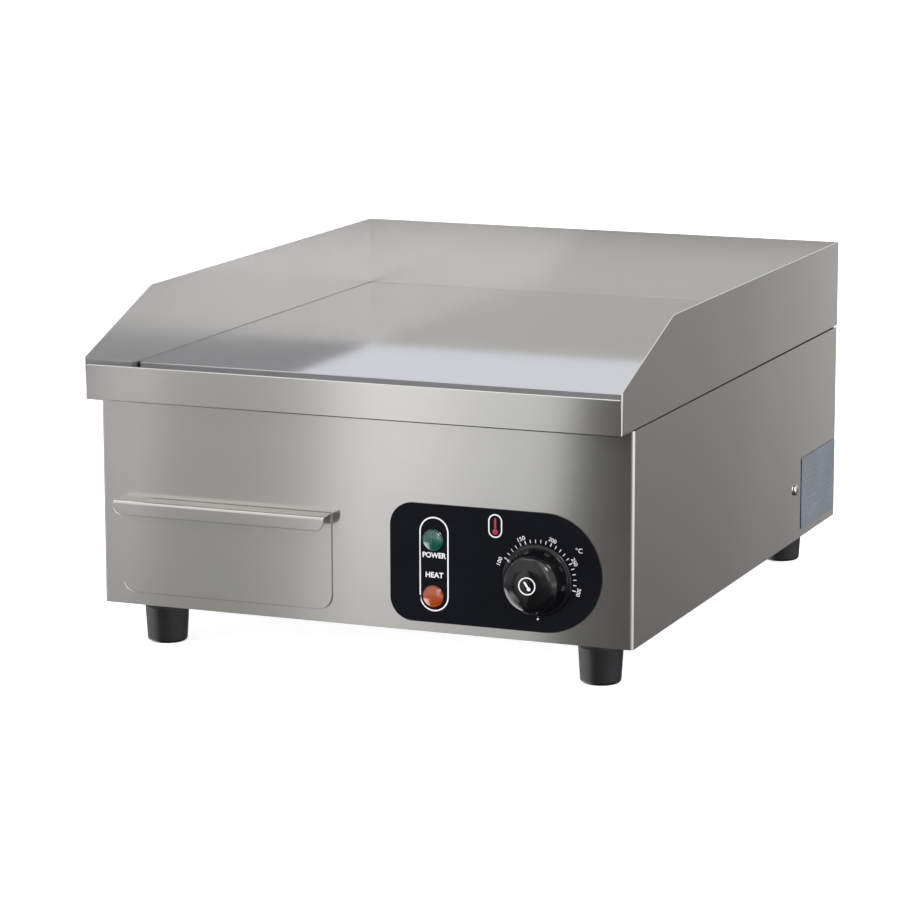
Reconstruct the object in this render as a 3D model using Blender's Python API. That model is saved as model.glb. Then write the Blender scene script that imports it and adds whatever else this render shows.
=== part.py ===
"""Countertop electric flat top griddle, as the separate pieces it is put together from.

Units are metres, +Z is up and the control panel looks along -Y. The origin is on the ground,
under the middle of the bounding box. Heights above the feet are counted from BASE, the lower
edge of the casing, and depths from FRONT, the outer face of its front panel.
"""

import math

import bmesh
import bpy
from mathutils import Matrix, Vector

# Driving dimensions
BODY_WIDTH = 0.400
BODY_DEPTH = 0.483
BODY_HEIGHT = 0.151
FOOT_HEIGHT = 0.032
LIP_OVERHANG = 0.0246      # how far the top's front lip stands ahead of the front panel
GLAND_REACH = 0.0144       # how far the cable gland stands behind the rear panel
SHEET = 0.001              # stainless sheet
GAP = 0.0003               # left between two pieces that touch

HALF = BODY_WIDTH / 2
FRONT = (LIP_OVERHANG - BODY_DEPTH - GLAND_REACH) / 2
REAR = FRONT + BODY_DEPTH
BASE = FOOT_HEIGHT
BODY_TOP = BASE + BODY_HEIGHT
LIP_FACE = FRONT - LIP_OVERHANG

# Top unit
LIP_TOP = BASE + 0.1777
SLANT_LOW = BASE + 0.182
WALL_TOP = BASE + 0.2182
SLANT_RUN = 0.1056         # from the lip's face back to where the side wall is full height
CORNER_BEND = 0.0015       # round vertical edges at the two front corners
LIP_CORNER = 0.0025        # round lower corners of the lip
SKIRT_BOTTOM = BODY_TOP + 0.0013
FLOOR_TOP = SKIRT_BOTTOM + SHEET
HEM = 0.0022               # the lip's folded upper edge
PLATE_THICK = 0.012
PLATE_BOTTOM = FLOOR_TOP + GAP
PLATE_TOP = PLATE_BOTTOM + PLATE_THICK
PLATE_FRONT = FRONT + 0.0548
PLATE_CORNER = 0.005
WINDOW_X = 0.185           # the opening under the plate, half its width
WINDOW_FRONT = FRONT + 0.070
WINDOW_REAR = REAR - 0.016
DRAIN = (-0.103, FRONT + 0.028)
DRAIN_HOLE = 0.011

# Heating
ELEMENT_RADIUS = 0.00325
ELEMENT_Z = PLATE_BOTTOM - GAP - ELEMENT_RADIUS
LEG_PITCH = 0.045
FIRST_LEG = 0.030          # from the middle plane to each element's nearest leg
CLAMP_DEPTHS = (FRONT + 0.140, REAR - 0.100)
CLAMP_BOLT_X = 0.0975
CLAMP_TOP = ELEMENT_Z - ELEMENT_RADIUS - GAP
CLAMP_THICK = 0.003
SHIELD_Z = BASE + 0.118

# Front panel
FACE_Z = BASE + 0.0071
FACE_TOP = BASE + 0.0905
FACE_X = (0.0223, 0.1776)
FACE_CORNER = 0.0165
FACE_THICK = 0.0007
FACE_Y = FRONT - GAP - FACE_THICK
LAMP_X = 0.0545
LAMPS_Z = (BASE + 0.0655, BASE + 0.0258)
KNOB_X, KNOB_Z = 0.1316, BASE + 0.0438

# Grease drawer
DRAWER_X = (-0.1847, -0.0220)
DRAWER_Z = (BASE + 0.0092, BASE + 0.0788)
DRAWER_CORNER = 0.010
DRAWER_SHEET = 0.0012
HANDLE_REACH = 0.0135
HANDLE_DROP = 0.0108
HANDLE_CORNER = 0.0065
PAN_X = (-0.1760, -0.0310)
PAN_Z = (BASE + 0.0140, BASE + 0.0700)
PAN_DEPTH = 0.150

# Rear panel
REAR_FACE = REAR - SHEET
GLAND_X, GLAND_Z = 0.140, BASE + 0.034
BOND_X = 0.178
CUTOUT_X, CUTOUT_Z = -0.120, BASE + 0.070

# Fastenings and feet
SIDE_SCREW = (FRONT + 0.375, BASE + 0.040)
FLANGE = 0.012             # turned-in edges of the casing, which the rear panel is screwed to
FOOT_X = 0.166
FOOT_Y = (FRONT + 0.031, REAR - 0.031)

# Name: base colour, metallic, roughness
FINISHES = {
    "brushed_steel": ((0.62, 0.61, 0.59), 1.0, 0.32),
    "polished_steel": ((0.70, 0.70, 0.70), 1.0, 0.08),
    "galvanised": ((0.55, 0.56, 0.57), 1.0, 0.45),
    "zinc": ((0.68, 0.68, 0.66), 1.0, 0.30),
    "element_sheath": ((0.22, 0.21, 0.20), 1.0, 0.50),
    "copper": ((0.72, 0.43, 0.29), 1.0, 0.30),
    "rubber": ((0.015, 0.015, 0.016), 0.0, 0.60),
    "silicone": ((0.02, 0.02, 0.02), 0.0, 0.55),
    "panel_black": ((0.010, 0.011, 0.016), 0.0, 0.30),
    "knob_black": ((0.012, 0.012, 0.013), 0.0, 0.15),
    "plastic_black": ((0.02, 0.02, 0.02), 0.0, 0.40),
    "lens_green": ((0.01, 0.35, 0.25), 0.0, 0.12),
    "lens_amber": ((0.80, 0.22, 0.02), 0.0, 0.12),
    "ceramic": ((0.80, 0.77, 0.70), 0.0, 0.55),
    "ceramic_fibre": ((0.85, 0.84, 0.80), 0.0, 0.95),
    "phenolic": ((0.16, 0.06, 0.03), 0.0, 0.45),
    "button_red": ((0.60, 0.03, 0.02), 0.0, 0.35),
    "label_silver": ((0.72, 0.74, 0.78), 0.4, 0.40),
    "wire_red": ((0.50, 0.04, 0.03), 0.0, 0.50),
    "wire_blue": ((0.04, 0.10, 0.45), 0.0, 0.50),
    "wire_white": ((0.75, 0.75, 0.72), 0.0, 0.50),
}


def finish(name):
    """The material of this name, made the first time that it is asked for."""
    found = bpy.data.materials.get(name)
    if found:
        return found
    colour, metallic, roughness = FINISHES[name]
    made = bpy.data.materials.new(name)
    made.use_nodes = True
    shader = made.node_tree.nodes["Principled BSDF"]
    shader.inputs["Base Color"].default_value = (*colour, 1.0)
    shader.inputs["Metallic"].default_value = metallic
    shader.inputs["Roughness"].default_value = roughness
    made.diffuse_color = (*colour, 1.0)
    return made


# Shapes, each returned as a bmesh


def block(low, high):
    """A box between two corners."""
    shape = bmesh.new()
    size = Vector(high) - Vector(low)
    middle = (Vector(high) + Vector(low)) / 2
    matrix = Matrix.Translation(middle) @ Matrix.Diagonal((*size, 1.0))
    bmesh.ops.create_cube(shape, size=1.0, matrix=matrix)
    return shape


def prism(outline, axis, start, end):
    """An outline extruded along an axis: (y, z) points along X, (x, z) along Y, (x, y) along Z."""
    place = {
        "X": lambda a, b, t: (t, a, b),
        "Y": lambda a, b, t: (a, t, b),
        "Z": lambda a, b, t: (a, b, t),
    }[axis]
    shape = bmesh.new()
    near = [shape.verts.new(place(a, b, start)) for a, b in outline]
    far = [shape.verts.new(place(a, b, end)) for a, b in outline]
    shape.faces.new(near)
    shape.faces.new(far)
    count = len(outline)
    for i in range(count):
        k = (i + 1) % count
        shape.faces.new((near[i], near[k], far[k], far[i]))
    bmesh.ops.recalc_face_normals(shape, faces=shape.faces)
    return shape


def turned(profile, centre, direction, segments):
    """A closed (radius, distance) profile turned about the axis through centre along direction."""
    turn = Vector(direction).to_track_quat("Z", "Y").to_matrix().to_4x4()
    to_place = Matrix.Translation(Vector(centre)) @ turn
    shape = bmesh.new()
    rings = []
    for radius, distance in profile:
        if radius < 1e-9:
            rings.append([shape.verts.new(to_place @ Vector((0.0, 0.0, distance)))])
            continue
        angles = [2 * math.pi * i / segments for i in range(segments)]
        rings.append([
            shape.verts.new(to_place @ Vector((radius * math.cos(a), radius * math.sin(a), distance)))
            for a in angles
        ])
    for this, following in zip(rings, rings[1:] + rings[:1]):
        for i in range(segments):
            k = (i + 1) % segments
            corners = [this[i % len(this)], this[k % len(this)]]
            corners += [following[k % len(following)], following[i % len(following)]]
            corners = list(dict.fromkeys(corners))
            if len(corners) > 2:
                shape.faces.new(corners)
    bmesh.ops.recalc_face_normals(shape, faces=shape.faces)
    return shape


def rod(centre, direction, radius, start, end, segments=16):
    """A plain cylinder from start to end along direction."""
    profile = [(0.0, start), (radius, start), (radius, end), (0.0, end)]
    return turned(profile, centre, direction, segments)


def together(shapes):
    """Several shapes that don't touch, as one cutter."""
    whole = bpy.data.meshes.new("whole")
    joined = bmesh.new()
    for shape in shapes:
        shape.to_mesh(whole)
        shape.free()
        joined.from_mesh(whole)
    bpy.data.meshes.remove(whole)
    return joined


# Outlines


def rounded(corners, step=30.0):
    """An outline from (a, b, radius) corners, with an arc at each corner that has a radius."""
    points = []
    count = len(corners)
    for i, (a, b, radius) in enumerate(corners):
        corner = Vector((a, b))
        if radius <= 0:
            points.append((a, b))
            continue
        before = (Vector(corners[i - 1][:2]) - corner).normalized()
        after = (Vector(corners[(i + 1) % count][:2]) - corner).normalized()
        opening = before.angle(after)
        middle = corner + (before + after).normalized() * radius / math.sin(opening / 2)
        first = corner + before * radius / math.tan(opening / 2) - middle
        last = corner + after * radius / math.tan(opening / 2) - middle
        start = math.atan2(first.y, first.x)
        sweep = math.atan2(last.y, last.x) - start
        sweep = (sweep + math.pi) % (2 * math.pi) - math.pi
        steps = max(2, math.ceil(abs(math.degrees(sweep)) / step))
        for k in range(steps + 1):
            angle = start + sweep * k / steps
            points.append((middle.x + radius * math.cos(angle), middle.y + radius * math.sin(angle)))
    return points


def rectangle(low, high, radius=0.0, step=30.0):
    """A rectangle's outline between two corners, with round corners."""
    (a, b), (c, d) = low, high
    return rounded([(a, b, radius), (c, b, radius), (c, d, radius), (a, d, radius)], step)


def bent_sheet(path, thick, radius, step=22.5):
    """The section of a sheet whose outer face follows the path, bent to this radius at each corner."""
    ends = [(*path[0], 0.0)]
    ends += [(*point, radius) for point in path[1:-1]]
    ends.append((*path[-1], 0.0))
    face = [Vector(point) for point in rounded(ends, step)]
    inner = []
    for i, point in enumerate(face):
        before = (point - face[i - 1]).normalized() if i else Vector((0.0, 0.0))
        after = (face[i + 1] - point).normalized() if i + 1 < len(face) else Vector((0.0, 0.0))
        along = (before + after).normalized()
        across = Vector((-along.y, along.x))
        lean = across.dot(Vector((-after.y, after.x)) if i == 0 else Vector((-before.y, before.x)))
        inner.append(point + across * thick / lean)
    return [tuple(p) for p in face] + [tuple(p) for p in reversed(inner)]


def corner_waste(corner, inward, radius, steps=5):
    """What a round corner of this radius takes away: the corner less a quarter disc."""
    (a, b), (u, v) = corner, inward
    over = 0.001
    points = [(a - u * over, b - v * over), (a + u * radius, b - v * over)]
    for k in range(steps + 1):
        angle = math.pi / 2 * k / steps
        points.append((a + u * radius * (1 - math.sin(angle)), b + v * radius * (1 - math.cos(angle))))
    points.append((a - u * over, b + v * radius))
    return points


def smooth_path(points, between=6):
    """Points along one smooth curve that passes through the given ones."""
    nodes = [Vector(p) for p in points]
    nodes = [2 * nodes[0] - nodes[1]] + nodes + [2 * nodes[-1] - nodes[-2]]
    path = []
    for a, b, c, d in zip(nodes, nodes[1:], nodes[2:], nodes[3:]):
        for k in range(between):
            t = k / between
            path.append(0.5 * (2 * b + (c - a) * t + (2 * a - 5 * b + 4 * c - d) * t**2
                               + (3 * b - a - 3 * c + d) * t**3))
    path.append(nodes[-2])
    return path


# Objects


def helper(name, shape):
    """A hidden object that only a Boolean uses."""
    made = bpy.data.objects.new(name, bpy.data.meshes.new(name))
    shape.to_mesh(made.data)
    shape.free()
    made.hide_render = True
    made.display_type = "WIRE"
    bpy.context.scene.collection.objects.link(made)
    return made


def combine(target, name, shape, operation):
    """Adds a live exact Boolean between an object and a shape."""
    modifier = target.modifiers.new(name, "BOOLEAN")
    modifier.operation = operation
    modifier.solver = "EXACT"
    modifier.object = helper(f"{target.name}_{name}", shape)


def cut(target, name, shape):
    """Takes a shape away from an object."""
    combine(target, name, shape, "DIFFERENCE")


def join(target, name, shape):
    """Makes a shape part of an object."""
    combine(target, name, shape, "UNION")


def piece(name, shape, material, smooth=False):
    """A named object from a shape, with its finish."""
    mesh = bpy.data.meshes.new(name)
    shape.to_mesh(mesh)
    shape.free()
    if smooth:
        mesh.shade_smooth()
        mesh.set_sharp_from_angle(angle=math.radians(35))
    made = bpy.data.objects.new(name, mesh)
    made.data.materials.append(finish(material))
    bpy.context.scene.collection.objects.link(made)
    return made


def bevel(target, width, segments=2):
    """Rounds an object's sharp edges."""
    modifier = target.modifiers.new("edges", "BEVEL")
    modifier.width = width
    modifier.segments = segments
    modifier.limit_method = "ANGLE"
    modifier.angle_limit = math.radians(50)


def tube(name, path, radius, material, thick_until=0, thick_radius=0.0):
    """A round tube along a path; its first points may be thicker, as a sensor's bulb is."""
    curve = bpy.data.curves.new(name, "CURVE")
    curve.dimensions = "3D"
    curve.bevel_depth = radius
    curve.bevel_resolution = 2
    curve.use_fill_caps = True
    spline = curve.splines.new("POLY")
    spline.points.add(len(path) - 1)
    for i, (point, place) in enumerate(zip(spline.points, path)):
        point.co = (*place, 1.0)
        point.radius = thick_radius / radius if i < thick_until else 1.0
    curve.materials.append(finish(material))
    made = bpy.data.objects.new(name, curve)
    bpy.context.scene.collection.objects.link(made)
    return made


# Top unit: surround with trough, cooking plate, drain


def splash_surround():
    """The splash back, both side walls, the trough and its front lip, in one bent and welded sheet."""
    side = rounded([
        (LIP_FACE, BODY_TOP, 0.0),
        (LIP_FACE, SLANT_LOW, 0.0),
        (LIP_FACE + SLANT_RUN, WALL_TOP, 0.008),
        (REAR, WALL_TOP, 0.0008),
        (REAR, SKIRT_BOTTOM, 0.0),
        (FRONT - GAP, SKIRT_BOTTOM, 0.0),
        (FRONT - GAP, BODY_TOP, 0.0),
    ], step=10)
    made = piece("splash_surround", prism(side, "X", -HALF, HALF), "brushed_steel")
    inner = HALF - SHEET
    above, ahead, below = WALL_TOP + 0.01, LIP_FACE - 0.01, BODY_TOP - 0.01
    fold = HEM / 2
    over_lip = [
        (LIP_FACE + fold - fold * math.cos(a), LIP_TOP - fold + fold * math.sin(a))
        for a in (math.pi * k / 8 for k in range(9))
    ]
    hollow = [(ahead, above), (ahead, LIP_TOP - fold), *over_lip]
    hollow += [(LIP_FACE + HEM, LIP_TOP - 0.010), (LIP_FACE + SHEET, LIP_TOP - 0.0102)]
    hollow += rounded([
        (LIP_FACE + SHEET, LIP_TOP - 0.0103, 0.0),
        (LIP_FACE + SHEET, FLOOR_TOP, 0.002),
        (REAR - SHEET, FLOOR_TOP, 0.0),
        (REAR - SHEET, above, 0.0),
    ])
    cut(made, "hollow", prism(hollow, "X", -inner, inner))
    cut(made, "under_lip", block((-inner, LIP_FACE + SHEET, BASE), (inner, FRONT + 0.001, SKIRT_BOTTOM)))
    cut(made, "window", block((-WINDOW_X, WINDOW_FRONT, BASE), (WINDOW_X, WINDOW_REAR, FLOOR_TOP + 0.01)))
    cut(made, "drain", rod((*DRAIN, FLOOR_TOP), (0, 0, 1), DRAIN_HOLE, -0.01, 0.01, 24))
    waste = []
    for way in (-1, 1):
        upright = corner_waste((-way * HALF, LIP_FACE), (way, 1), CORNER_BEND)
        lower = corner_waste((-way * HALF, BODY_TOP), (way, 1), LIP_CORNER)
        waste.append(prism(upright, "Z", below, above))
        waste.append(prism(lower, "Y", ahead, FRONT - GAP))
    for number, shape in enumerate(waste, 1):
        cut(made, f"corner_{number}", shape)


def surround_gasket():
    """The black seam between the casing and the top unit."""
    low, high = BODY_TOP + GAP, SKIRT_BOTTOM - GAP
    recess, width = 0.0016, 0.010
    side, front, rear = HALF - recess, FRONT + recess, REAR - SHEET - recess
    made = piece("surround_gasket", block((-side, front, low), (side, rear, high)), "silicone")
    hole = block((-side + width, front + width, low - 0.01), (side - width, rear - width, high + 0.01))
    cut(made, "middle", hole)


def griddle_plate():
    """The thick cooking plate, with round front corners and blind tapped holes underneath."""
    side, rear = HALF - SHEET - GAP, REAR - SHEET - GAP
    outline = rounded([(-side, PLATE_FRONT, PLATE_CORNER), (side, PLATE_FRONT, PLATE_CORNER),
                       (side, rear, 0.0), (-side, rear, 0.0)], 15)
    made = piece("griddle_plate", prism(outline, "Z", PLATE_BOTTOM, PLATE_TOP), "polished_steel")
    bevel(made, 0.0008)
    holes = [
        rod((x, y, PLATE_BOTTOM), (0, 0, 1), 0.0033, -0.002, 0.008, 12)
        for y in CLAMP_DEPTHS for x in (-CLAMP_BOLT_X, CLAMP_BOLT_X)
    ]
    cut(made, "tapped_holes", together(holes))


def drain_spout():
    """The short tube that carries fat from the trough down into the drawer, with its collar."""
    inside, outside = 0.0095, DRAIN_HOLE - GAP
    under = SKIRT_BOTTOM - GAP - FLOOR_TOP
    profile = [
        (inside, 0.0), (outside, 0.0), (outside, under), (0.015, under), (0.015, under - SHEET),
        (outside, under - SHEET), (outside, -0.078), (inside, -0.078),
    ]
    piece("drain_spout", turned(profile, (*DRAIN, FLOOR_TOP), (0, 0, 1), 24), "brushed_steel", smooth=True)


# Heating under the plate


def serpentine(first_x, away):
    """The four legs of one heating element, with its two cold ends turned down behind the shield."""
    front, rear, tail = WINDOW_FRONT + 0.025, REAR - 0.060, REAR - 0.034
    bend = LEG_PITCH / 2
    path = [(first_x, tail, ELEMENT_Z - 0.030)]
    path += turn_down(first_x, tail)
    for leg in range(3):
        x = first_x + away * LEG_PITCH * leg
        end = front if leg % 2 == 0 else rear
        forward = -1 if leg % 2 == 0 else 1
        for k in range(9):
            angle = math.pi * k / 8
            across = bend * (1 - math.cos(angle)) * away
            path.append((x + across, end + forward * bend * math.sin(angle), ELEMENT_Z))
    last_x = first_x + away * LEG_PITCH * 3
    path += reversed(turn_down(last_x, tail))
    path.append((last_x, tail, ELEMENT_Z - 0.030))
    return path


def turn_down(x, tail):
    """A quarter bend from straight down to the plane of the element."""
    bend = 0.009
    return [
        (x, tail - bend * (1 - math.cos(a)), ELEMENT_Z - bend + bend * math.sin(a))
        for a in (math.pi / 2 * k / 4 for k in range(5))
    ]


def heating():
    """Two elements clamped under the plate, above a heat shield that holds an insulation mat."""
    for name, away in (("heating_element_left", -1), ("heating_element_right", 1)):
        tube(name, serpentine(FIRST_LEG * away, away), ELEMENT_RADIUS, "element_sheath")
    for name, depth in zip(("element_clamp_front", "element_clamp_rear"), CLAMP_DEPTHS):
        low = (-0.176, depth - 0.010, CLAMP_TOP - CLAMP_THICK)
        bar = piece(name, block(low, (0.176, depth + 0.010, CLAMP_TOP)), "galvanised")
        holes = [
            rod((x, depth, CLAMP_TOP), (0, 0, 1), 0.0034, -0.01, 0.01, 12)
            for x in (-CLAMP_BOLT_X, CLAMP_BOLT_X)
        ]
        cut(bar, "bolt_holes", together(holes))
    number = 1
    for depth in CLAMP_DEPTHS:
        for x in (-CLAMP_BOLT_X, CLAMP_BOLT_X):
            clamp_bolt(f"clamp_bolt_{number}", x, depth)
            number += 1
    side, front, rear, height = 0.180, FRONT + 0.062, REAR - 0.050, 0.022
    tray = block((-side, front, SHIELD_Z), (side, rear, SHIELD_Z + height))
    shield = piece("heat_shield", tray, "galvanised")
    side, front, rear, floor = side - SHEET, front + SHEET, rear - SHEET, SHIELD_Z + SHEET
    cut(shield, "tray", block((-side, front, floor), (side, rear, SHIELD_Z + 0.030)))
    clear = 0.0005
    low, high = (clear - side, front + clear, floor + GAP), (side - clear, rear - clear, floor + 0.018)
    piece("insulation_mat", block(low, high), "ceramic_fibre")


def clamp_bolt(name, x, y):
    """A hex bolt up through the clamp bar into the plate."""
    head = CLAMP_TOP - CLAMP_THICK - GAP
    shape = turned([(0.0, 0.0), (0.0055, 0.0), (0.0055, -0.004), (0.0, -0.004)], (x, y, head), (0, 0, 1), 6)
    bolt = piece(name, shape, "zinc")
    join(bolt, "shank", rod((x, y, head), (0, 0, 1), 0.0030, -0.002, PLATE_BOTTOM + 0.0075 - head, 12))


# Casing


def body_wrap():
    """The front and both sides, one sheet bent round the front corners, with flanges at the top and rear."""
    back = REAR_FACE - GAP
    bend = 0.003
    outline = rounded([(-HALF, FRONT, bend), (HALF, FRONT, bend), (HALF, back, 0.0),
                       (-HALF, back, 0.0)], 22.5)
    made = piece("body_wrap", prism(outline, "Z", BASE, BODY_TOP), "brushed_steel")
    side, inner_back = HALF - SHEET, back - SHEET
    front = FRONT + SHEET
    hollow = rounded([(-side, front, bend - SHEET), (side, front, bend - SHEET), (side, inner_back, 0.0),
                      (-side, inner_back, 0.0)], 22.5)
    cut(made, "hollow", prism(hollow, "Z", BASE - 0.01, BODY_TOP - SHEET))
    cut(made, "top", block((FLANGE - HALF, FRONT + FLANGE, BODY_TOP - 0.01),
                           (HALF - FLANGE, back - FLANGE, BODY_TOP + 0.01)))
    cut(made, "rear", block((FLANGE - HALF, back - 0.01, BASE - 0.01),
                            (HALF - FLANGE, back + 0.01, BODY_TOP - FLANGE)))
    opening = rectangle((PAN_X[0] - 0.001, PAN_Z[0] - 0.001), (PAN_X[1] + 0.001, PAN_Z[1] + 0.001), 0.003)
    holes = [prism(opening, "Y", FRONT - 0.005, FRONT + 0.005)]
    holes += [rod((LAMP_X, FRONT, z), (0, 1, 0), 0.0054, -0.005, 0.005) for z in LAMPS_Z]
    holes.append(rod((KNOB_X, FRONT, KNOB_Z), (0, 1, 0), 0.005, -0.005, 0.005))
    holes += [rod((sign * HALF, SIDE_SCREW[0], SIDE_SCREW[1]), (1, 0, 0), 0.0024, -0.005, 0.005, 12)
              for sign in (-1, 1)]
    holes += [rod((x, back, z), (0, 1, 0), 0.0018, -0.005, 0.005, 12) for x, z in rear_screw_places()]
    cut(made, "holes", together(holes))


def rear_screw_places():
    """Where the rear panel's screws go into the casing's flanges, as (x, z)."""
    return [(x, z) for z in (BASE + 0.030, BODY_TOP - 0.030) for x in (0.0065 - HALF, HALF - 0.0065)]


def base_plate():
    """The bottom tray, with holes for the foot screws and two rows of ventilation slots."""
    side, front, back = HALF - SHEET - GAP, FRONT + SHEET + GAP, REAR_FACE - 2 * GAP - SHEET
    outline = rounded([(-side, front, 0.003), (side, front, 0.003), (side, back, 0.0), (-side, back, 0.0)])
    made = piece("base_plate", prism(outline, "Z", BASE, BASE + 0.011), "galvanised")
    low, high = (SHEET - side, front + SHEET, BASE + SHEET), (side - SHEET, back - SHEET, BASE + 0.020)
    cut(made, "tray", block(low, high))
    corners = [(x, y) for x in (-FOOT_X, FOOT_X) for y in FOOT_Y]
    holes = [rod((*corner, BASE), (0, 0, 1), 0.0033, -0.005, 0.005, 12) for corner in corners]
    for row in range(2):
        for column in range(8):
            x, y = -0.105 + 0.030 * column, 0.030 + 0.075 * row
            slot = rectangle((x - 0.0017, y), (x + 0.0017, y + 0.045), 0.0016, 90)
            holes.append(prism(slot, "Z", BASE - 0.01, BASE + 0.005))
    cut(made, "holes", together(holes))


def rear_panel():
    """The flat rear cover, with its vent slots and the holes for the gland, earth stud and cut-out."""
    outline = rectangle((0.0005 - HALF, BASE + 0.0005), (HALF - 0.0005, BODY_TOP - 0.0005), 0.002)
    made = piece("rear_panel", prism(outline, "Y", REAR_FACE, REAR), "brushed_steel")
    holes = [
        rod((GLAND_X, REAR_FACE, GLAND_Z), (0, 1, 0), 0.0083, -0.005, 0.005, 20),
        rod((BOND_X, REAR_FACE, GLAND_Z), (0, 1, 0), 0.0033, -0.005, 0.005, 12),
        rod((CUTOUT_X, REAR_FACE, CUTOUT_Z), (0, 1, 0), 0.0053, -0.005, 0.005, 16),
    ]
    holes += [rod((x, REAR_FACE, z), (0, 1, 0), 0.0018, -0.005, 0.005, 12) for x, z in rear_screw_places()]
    for column in range(14):
        x = -0.130 + 0.020 * column
        slot = rectangle((x - 0.0018, BASE + 0.100), (x + 0.0018, BASE + 0.130), 0.0017, 60)
        holes.append(prism(slot, "Y", REAR_FACE - 0.005, REAR + 0.005))
    cut(made, "holes", together(holes))


def pan_head(name, place, direction, head, height, shank, length, material="polished_steel", segments=12):
    """A screw with a domed head whose underside is at place, pointing along direction."""
    edge = height * 0.45
    profile = [
        (0.0, height), (head * 0.55, height * 0.88), (head, edge), (head, 0.0), (shank, 0.0),
        (shank, -length), (0.0, -length),
    ]
    piece(name, turned(profile, place, direction, segments), material, smooth=True)


def screws():
    """One domed screw low on each side, and four that hold the rear panel."""
    for side, name in ((-1, "side_screw_left"), (1, "side_screw_right")):
        place = (side * (HALF + GAP), *SIDE_SCREW)
        pan_head(name, place, (side, 0, 0), 0.0042, 0.0018, 0.0020, 0.008, segments=16)
    for number, (x, z) in enumerate(rear_screw_places(), 1):
        pan_head(f"rear_screw_{number}", (x, REAR + GAP, z), (0, 1, 0), 0.0034, 0.0020, 0.0015, 0.009)


def feet():
    """A tapered rubber foot at each corner, with its screw up inside it."""
    top, low, edge = 0.0162, 0.0144, 0.0025
    height = FOOT_HEIGHT - GAP
    recess, seat = 0.0075, 0.0078
    reach = BASE + 0.006 - seat
    outside = [(low - edge, 0.0), (low - edge * 0.29, edge * 0.29), (low, edge), (top, height)]
    profile = [(recess, 0.0), *outside, (0.0034, height), (0.0034, seat), (recess, seat)]
    names = ("front_left", "front_right", "rear_left", "rear_right")
    places = [(x, y) for y in FOOT_Y for x in (-FOOT_X, FOOT_X)]
    for name, (x, y) in zip(names, places):
        piece(f"foot_{name}", turned(profile, (x, y, 0), (0, 0, 1), 24), "rubber", smooth=True)
        place = (x, y, seat - GAP)
        pan_head(f"foot_screw_{name}", place, (0, 0, -1), 0.0060, 0.0035, 0.0030, reach, "zinc")


# Controls


def control_overlay():
    """The black faceplate: two small round corners on the left, a half circle on the right."""
    half = (FACE_TOP - FACE_Z) / 2
    outline = rounded([
        (FACE_X[0], FACE_Z, FACE_CORNER), (FACE_X[1], FACE_Z, half - 1e-6),
        (FACE_X[1], FACE_TOP, half - 1e-6), (FACE_X[0], FACE_TOP, FACE_CORNER),
    ], 7.5)
    made = piece("control_overlay", prism(outline, "Y", FACE_Y, FACE_Y + FACE_THICK), "panel_black")
    holes = [rod((LAMP_X, FRONT, z), (0, 1, 0), 0.0054, -0.005, 0.005) for z in LAMPS_Z]
    holes.append(rod((KNOB_X, FRONT, KNOB_Z), (0, 1, 0), 0.005, -0.005, 0.005))
    cut(made, "holes", together(holes))


def lamps():
    """Each pilot lamp: a domed lens whose stem passes through the panel, and a lamp body behind it."""
    lens = 0.0072
    seat = FACE_Y - GAP
    rim, rise = 0.0012, 0.0026
    dome = [(lens * math.cos(a), rim + rise * math.sin(a)) for a in (math.pi / 2 * k / 4 for k in range(4))]
    stem = [(lens, 0.0), (0.0050, 0.0), (0.0050, -0.006), (0.0, -0.006)]
    profile = [(0.0, rim + rise), *reversed(dome), *stem]
    names = (("power_lens", "lens_green", "power_lamp"), ("heat_lens", "lens_amber", "heat_lamp"))
    for (name, colour, body), z in zip(names, LAMPS_Z):
        piece(name, turned(profile, (LAMP_X, seat, z), (0, -1, 0), 24), colour, smooth=True)
        start = seat + 0.006 + GAP
        back = [(0.0, 0.0), (0.0050, 0.0), (0.0068, 0.0008), (0.0068, 0.018), (0.0045, 0.020), (0.0, 0.020)]
        piece(body, turned(back, (LAMP_X, start, z), (0, 1, 0), 16), "plastic_black", smooth=True)


def knob():
    """The knob with a thin skirt and a domed grip, on the thermostat's shaft."""
    seat = FACE_Y - 0.0006
    profile = [
        (0.0033, 0.0), (0.0250, 0.0), (0.0255, 0.0006), (0.0250, 0.0022), (0.0228, 0.0030),
        (0.0212, 0.0090), (0.0200, 0.0150), (0.0186, 0.0182), (0.0155, 0.0200), (0.0090, 0.0207),
        (0.0, 0.0208), (0.0, 0.0150), (0.0033, 0.0150),
    ]
    made = piece("control_knob", turned(profile, (0, 0, 0), (0, 0, 1), 40), "knob_black", smooth=True)
    made.location = (KNOB_X, seat, KNOB_Z)
    made.rotation_euler = (math.pi / 2, 0, 0)
    shaft = rod((0, 0, 0), (0, 0, 1), 0.0030, -0.011, 0.0147, 16)
    inner = piece("thermostat_shaft", shaft, "zinc", smooth=True)
    inner.location = made.location
    inner.rotation_euler = made.rotation_euler


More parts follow.
